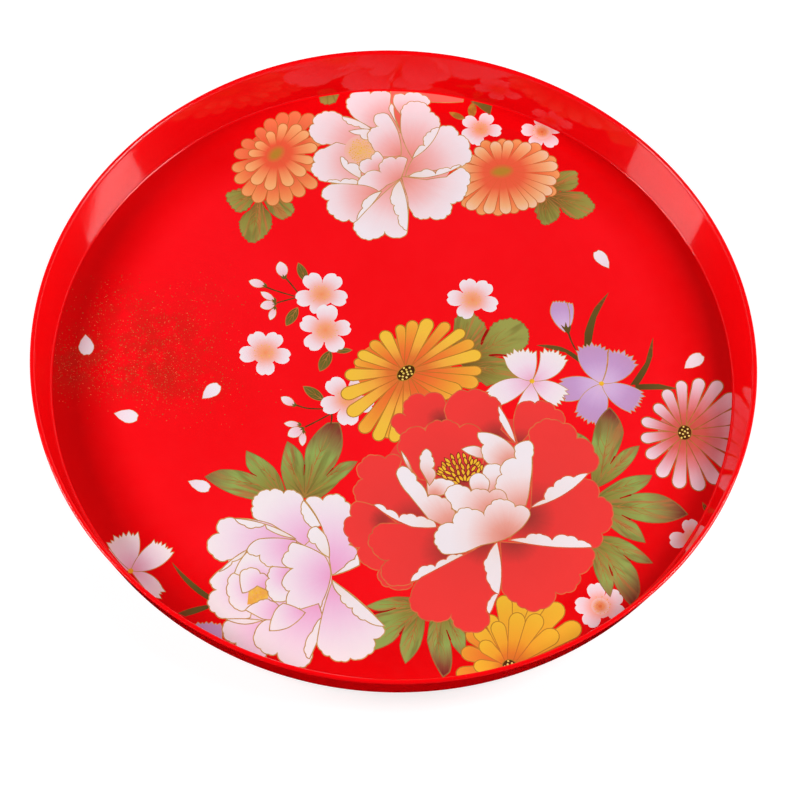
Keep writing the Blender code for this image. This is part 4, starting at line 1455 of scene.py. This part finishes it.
# ------------------------------------------------------------------------------------------
# The moulded body: one turned profile, with small rounds at each corner
# ------------------------------------------------------------------------------------------
def rounded(before, corner, after, radius, steps=6):
    """Points of a round of that radius at a corner of the profile."""
    first = (before - corner).normalized()
    last = (after - corner).normalized()
    half = first.angle(last) / 2
    back = radius / math.tan(half)
    centre = corner + (first + last).normalized() * radius / math.sin(half)
    start = corner + first * back - centre
    end = corner + last * back - centre
    sweep = start.angle(end)
    points = []
    for step in range(steps + 1):
        share = step / steps
        weights = (math.sin((1 - share) * sweep) / math.sin(sweep), math.sin(share * sweep) / math.sin(sweep))
        points.append(centre + start * weights[0] + end * weights[1])
    return points


def body_profile():
    """(radius, height) points from the axis under the print, over the rim, to the axis below."""
    seat = FLOOR_TOP - SEAT_DEPTH
    slope = (RIM_CORNER_RADIUS - WALL_THICKNESS - FLOOR_RADIUS) / (TRAY_HEIGHT - FLOOR_TOP)
    heel = RIM_CORNER_RADIUS - slope * (TRAY_HEIGHT - FOOT_HEIGHT)
    corners = [
        (0.0, seat, 0.0),
        (SEAT_RADIUS, seat, 0.0),
        (SEAT_RADIUS, FLOOR_TOP, 0.0),
        (FLOOR_RADIUS, FLOOR_TOP, JUNCTION_ROUND),
        (RIM_CORNER_RADIUS - WALL_THICKNESS, TRAY_HEIGHT, RIM_INNER_ROUND),
        (RIM_CORNER_RADIUS, TRAY_HEIGHT, RIM_OUTER_ROUND),
        (heel, FOOT_HEIGHT, HEEL_ROUND),
        (FOOT_OUTER_RADIUS, FOOT_HEIGHT, 0.0),
        (FOOT_OUTER_RADIUS - FOOT_DRAFT, 0.0, FOOT_ROUND),
        (FOOT_OUTER_RADIUS - FOOT_WIDTH + FOOT_DRAFT, 0.0, FOOT_ROUND),
        (FOOT_OUTER_RADIUS - FOOT_WIDTH, FOOT_HEIGHT, 0.0),
        (0.0, FOOT_HEIGHT, 0.0),
    ]
    points = []
    for index, (radius, height, rounding) in enumerate(corners):
        here = Vector((radius, height))
        if not rounding:
            points.append(here)
            continue
        before = Vector(corners[index - 1][:2])
        after = Vector(corners[index + 1][:2])
        points += rounded(before, here, after, rounding)
    return points


def add_support(points):
    """The profile with an extra point near each end of a long side, which keeps the shading true."""
    supported = []
    for here, after in zip(points, points[1:]):
        supported.append(here)
        run = after - here
        if run.length > 5 * SUPPORT_DISTANCE:
            inset = run.normalized() * SUPPORT_DISTANCE
            supported += [here + inset, after - inset]
    return supported + [points[-1]]


def moulded_body():
    """The profile turned about the axis, closed by a fan of triangles above and below."""
    profile = add_support(body_profile())
    turned = profile[1:-1]
    angles = 2 * np.pi * np.arange(BODY_SEGMENTS) / BODY_SEGMENTS
    radii = np.array([p.x for p in turned])
    heights = np.array([p.y for p in turned])
    x = np.outer(radii, np.cos(angles))
    y = np.outer(radii, np.sin(angles))
    z = np.repeat(heights[:, None], BODY_SEGMENTS, 1)
    co = np.stack([x, y, z], 2).reshape(-1, 3).tolist()
    top = len(co)
    co += [(0.0, 0.0, profile[0].y), (0.0, 0.0, profile[-1].y)]
    faces = []
    for segment in range(BODY_SEGMENTS):
        following = (segment + 1) % BODY_SEGMENTS
        faces.append((top, segment, following))
        for ring in range(len(turned) - 1):
            low = ring * BODY_SEGMENTS
            high = low + BODY_SEGMENTS
            faces.append((low + segment, high + segment, high + following, low + following))
        last = (len(turned) - 1) * BODY_SEGMENTS
        faces.append((last + segment, top + 1, last + following))
    mesh = bpy.data.meshes.new("moulded_tray_body")
    mesh.from_pydata(co, [], faces)
    mesh.materials.append(red_moulding())
    places = np.array(co)
    rim = np.clip((places[:, 2] - (TRAY_HEIGHT - WEAR_REACH)) / WEAR_REACH, 0, 1)
    foot = np.clip((WEAR_REACH - places[:, 2]) / WEAR_REACH, 0, 1)
    wear = np.maximum(rim, foot).astype(np.float32)
    mesh.attributes.new("wear", "FLOAT", "POINT").data.foreach_set("value", wear)
    mesh.shade_smooth()
    body = bpy.data.objects.new("moulded_tray_body", mesh)
    bpy.context.scene.collection.objects.link(body)
    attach(body, "root")
    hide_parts("tray_body")


moulded_body()


# ------------------------------------------------------------------------------------------
# Floor, light and camera
# ------------------------------------------------------------------------------------------
STAGE_SIZE = 4.0
AIM = Vector((0.0042, -0.0177, 0.0052))
CAMERA_DISTANCE = 1.1114
CAMERA_ELEVATION = math.radians(61.58)
CAMERA_ROLL = math.radians(-3.95)
LENS = 102.54
SENSOR = 36.0
HORIZON_LIGHT = 0.62
OVERHEAD_LIGHT = 0.05
FRONT_SHARE = 0.32
SIDE_SHARE = 2.0
SLANT = 0.26


def stage_sheet(name, height, grey, glow):
    """A square of pale paper, which glows a little."""
    half = STAGE_SIZE / 2
    mesh = bpy.data.meshes.new(name)
    corners = [(-half, -half, height), (half, -half, height), (half, half, height), (-half, half, height)]
    mesh.from_pydata(corners, [], [(0, 1, 2, 3)])
    tree = Tree(bpy.data.materials.new(name))
    paper = tree.span(tree.noise(30.0, 3.0), 0.3, 0.7)
    pale = linear(grey, grey, grey)
    paler = linear(grey + 3, grey + 3, grey + 3)
    tree.set(Base_Color=tree.mix(paper, pale, paler), Roughness=0.9)
    tree.set(Emission_Color=linear(255, 255, 255), Emission_Strength=glow)
    mesh.materials.append(tree.owner)
    sheet = bpy.data.objects.new(name, mesh)
    bpy.context.scene.collection.objects.link(sheet)
    sheet.visible_glossy = False
    return sheet


def stage_floor():
    """The paper as the camera sees it, and just below it the paper that bounces light."""
    shown = stage_sheet("stage_floor", 0.0, 150, 0.8)
    shown.visible_diffuse = False
    shown.visible_shadow = False
    bounce = stage_sheet("stage_bounce", -0.0002, 250, 0.06)
    bounce.visible_camera = False


def softbox(name, azimuth, elevation, tilt, width, height, distance, radiance):
    """A lit panel that faces the tray from this direction, turned by tilt about its own axis."""
    light = bpy.data.lights.new(name, "AREA")
    light.shape = "RECTANGLE"
    light.size = width
    light.size_y = height
    light.energy = radiance * math.pi * width * height
    lamp = bpy.data.objects.new(name, light)
    turn = math.radians(azimuth)
    rise = math.radians(elevation)
    away = Vector((math.cos(rise) * math.cos(turn), math.cos(rise) * math.sin(turn), math.sin(rise)))
    lamp.location = away * distance
    facing = away.to_track_quat("Z", "Y") @ Quaternion((0.0, 0.0, 1.0), math.radians(tilt))
    lamp.rotation_euler = facing.to_euler()
    bpy.context.scene.collection.objects.link(lamp)


def camera():
    """Looks down along back at the aim, with its own right and up turned by the roll."""
    back = Vector((0.0, -math.cos(CAMERA_ELEVATION), math.sin(CAMERA_ELEVATION)))
    right = Vector((1.0, 0.0, 0.0))
    up = back.cross(right)
    cosine = math.cos(CAMERA_ROLL)
    sine = math.sin(CAMERA_ROLL)
    x_axis = right * cosine - up * sine
    y_axis = right * sine + up * cosine
    data = bpy.data.cameras.new("camera")
    data.lens = LENS
    data.sensor_width = SENSOR
    data.clip_end = 20.0
    view = bpy.data.objects.new("camera", data)
    turned = Matrix((x_axis, y_axis, back)).transposed().to_4x4()
    view.matrix_world = Matrix.Translation(AIM + back * CAMERA_DISTANCE) @ turned
    bpy.context.scene.collection.objects.link(view)
    bpy.context.scene.camera = view


def soft_world():
    """A band of light from the horizon up, dim overhead, brighter to the sides and most to the right."""
    world = bpy.data.worlds.new("soft_world")
    tree = Tree(world, "Background", "Generated")
    x, _, z = tree.add("SeparateXYZ", {0: tree.place})
    levels = ((0.0, 0.0), (0.01, HORIZON_LIGHT), (0.26, HORIZON_LIGHT), (0.42, OVERHEAD_LIGHT))
    tree.set(Color=tree.ramp(z, [(height, (level, level, level, 1.0)) for height, level in levels]))
    sides = tree.span(tree.math("MULTIPLY", x, x), 0.0, 1.0, FRONT_SHARE, SIDE_SHARE, "LINEAR")
    tree.set(Strength=tree.math("MULTIPLY_ADD", x, SLANT, sides))
    bpy.context.scene.world = world


stage_floor()
softbox(
    "softbox_right", azimuth=1.8, elevation=48.3, tilt=30.2,
    width=0.462, height=0.486, distance=1.366, radiance=18.6,
)
softbox(
    "softbox_left", azimuth=188.2, elevation=39.2, tilt=0.0,
    width=0.47, height=0.40, distance=1.2, radiance=16.8,
)
camera()
soft_world()
bpy.context.scene.view_settings.view_transform = "Standard"
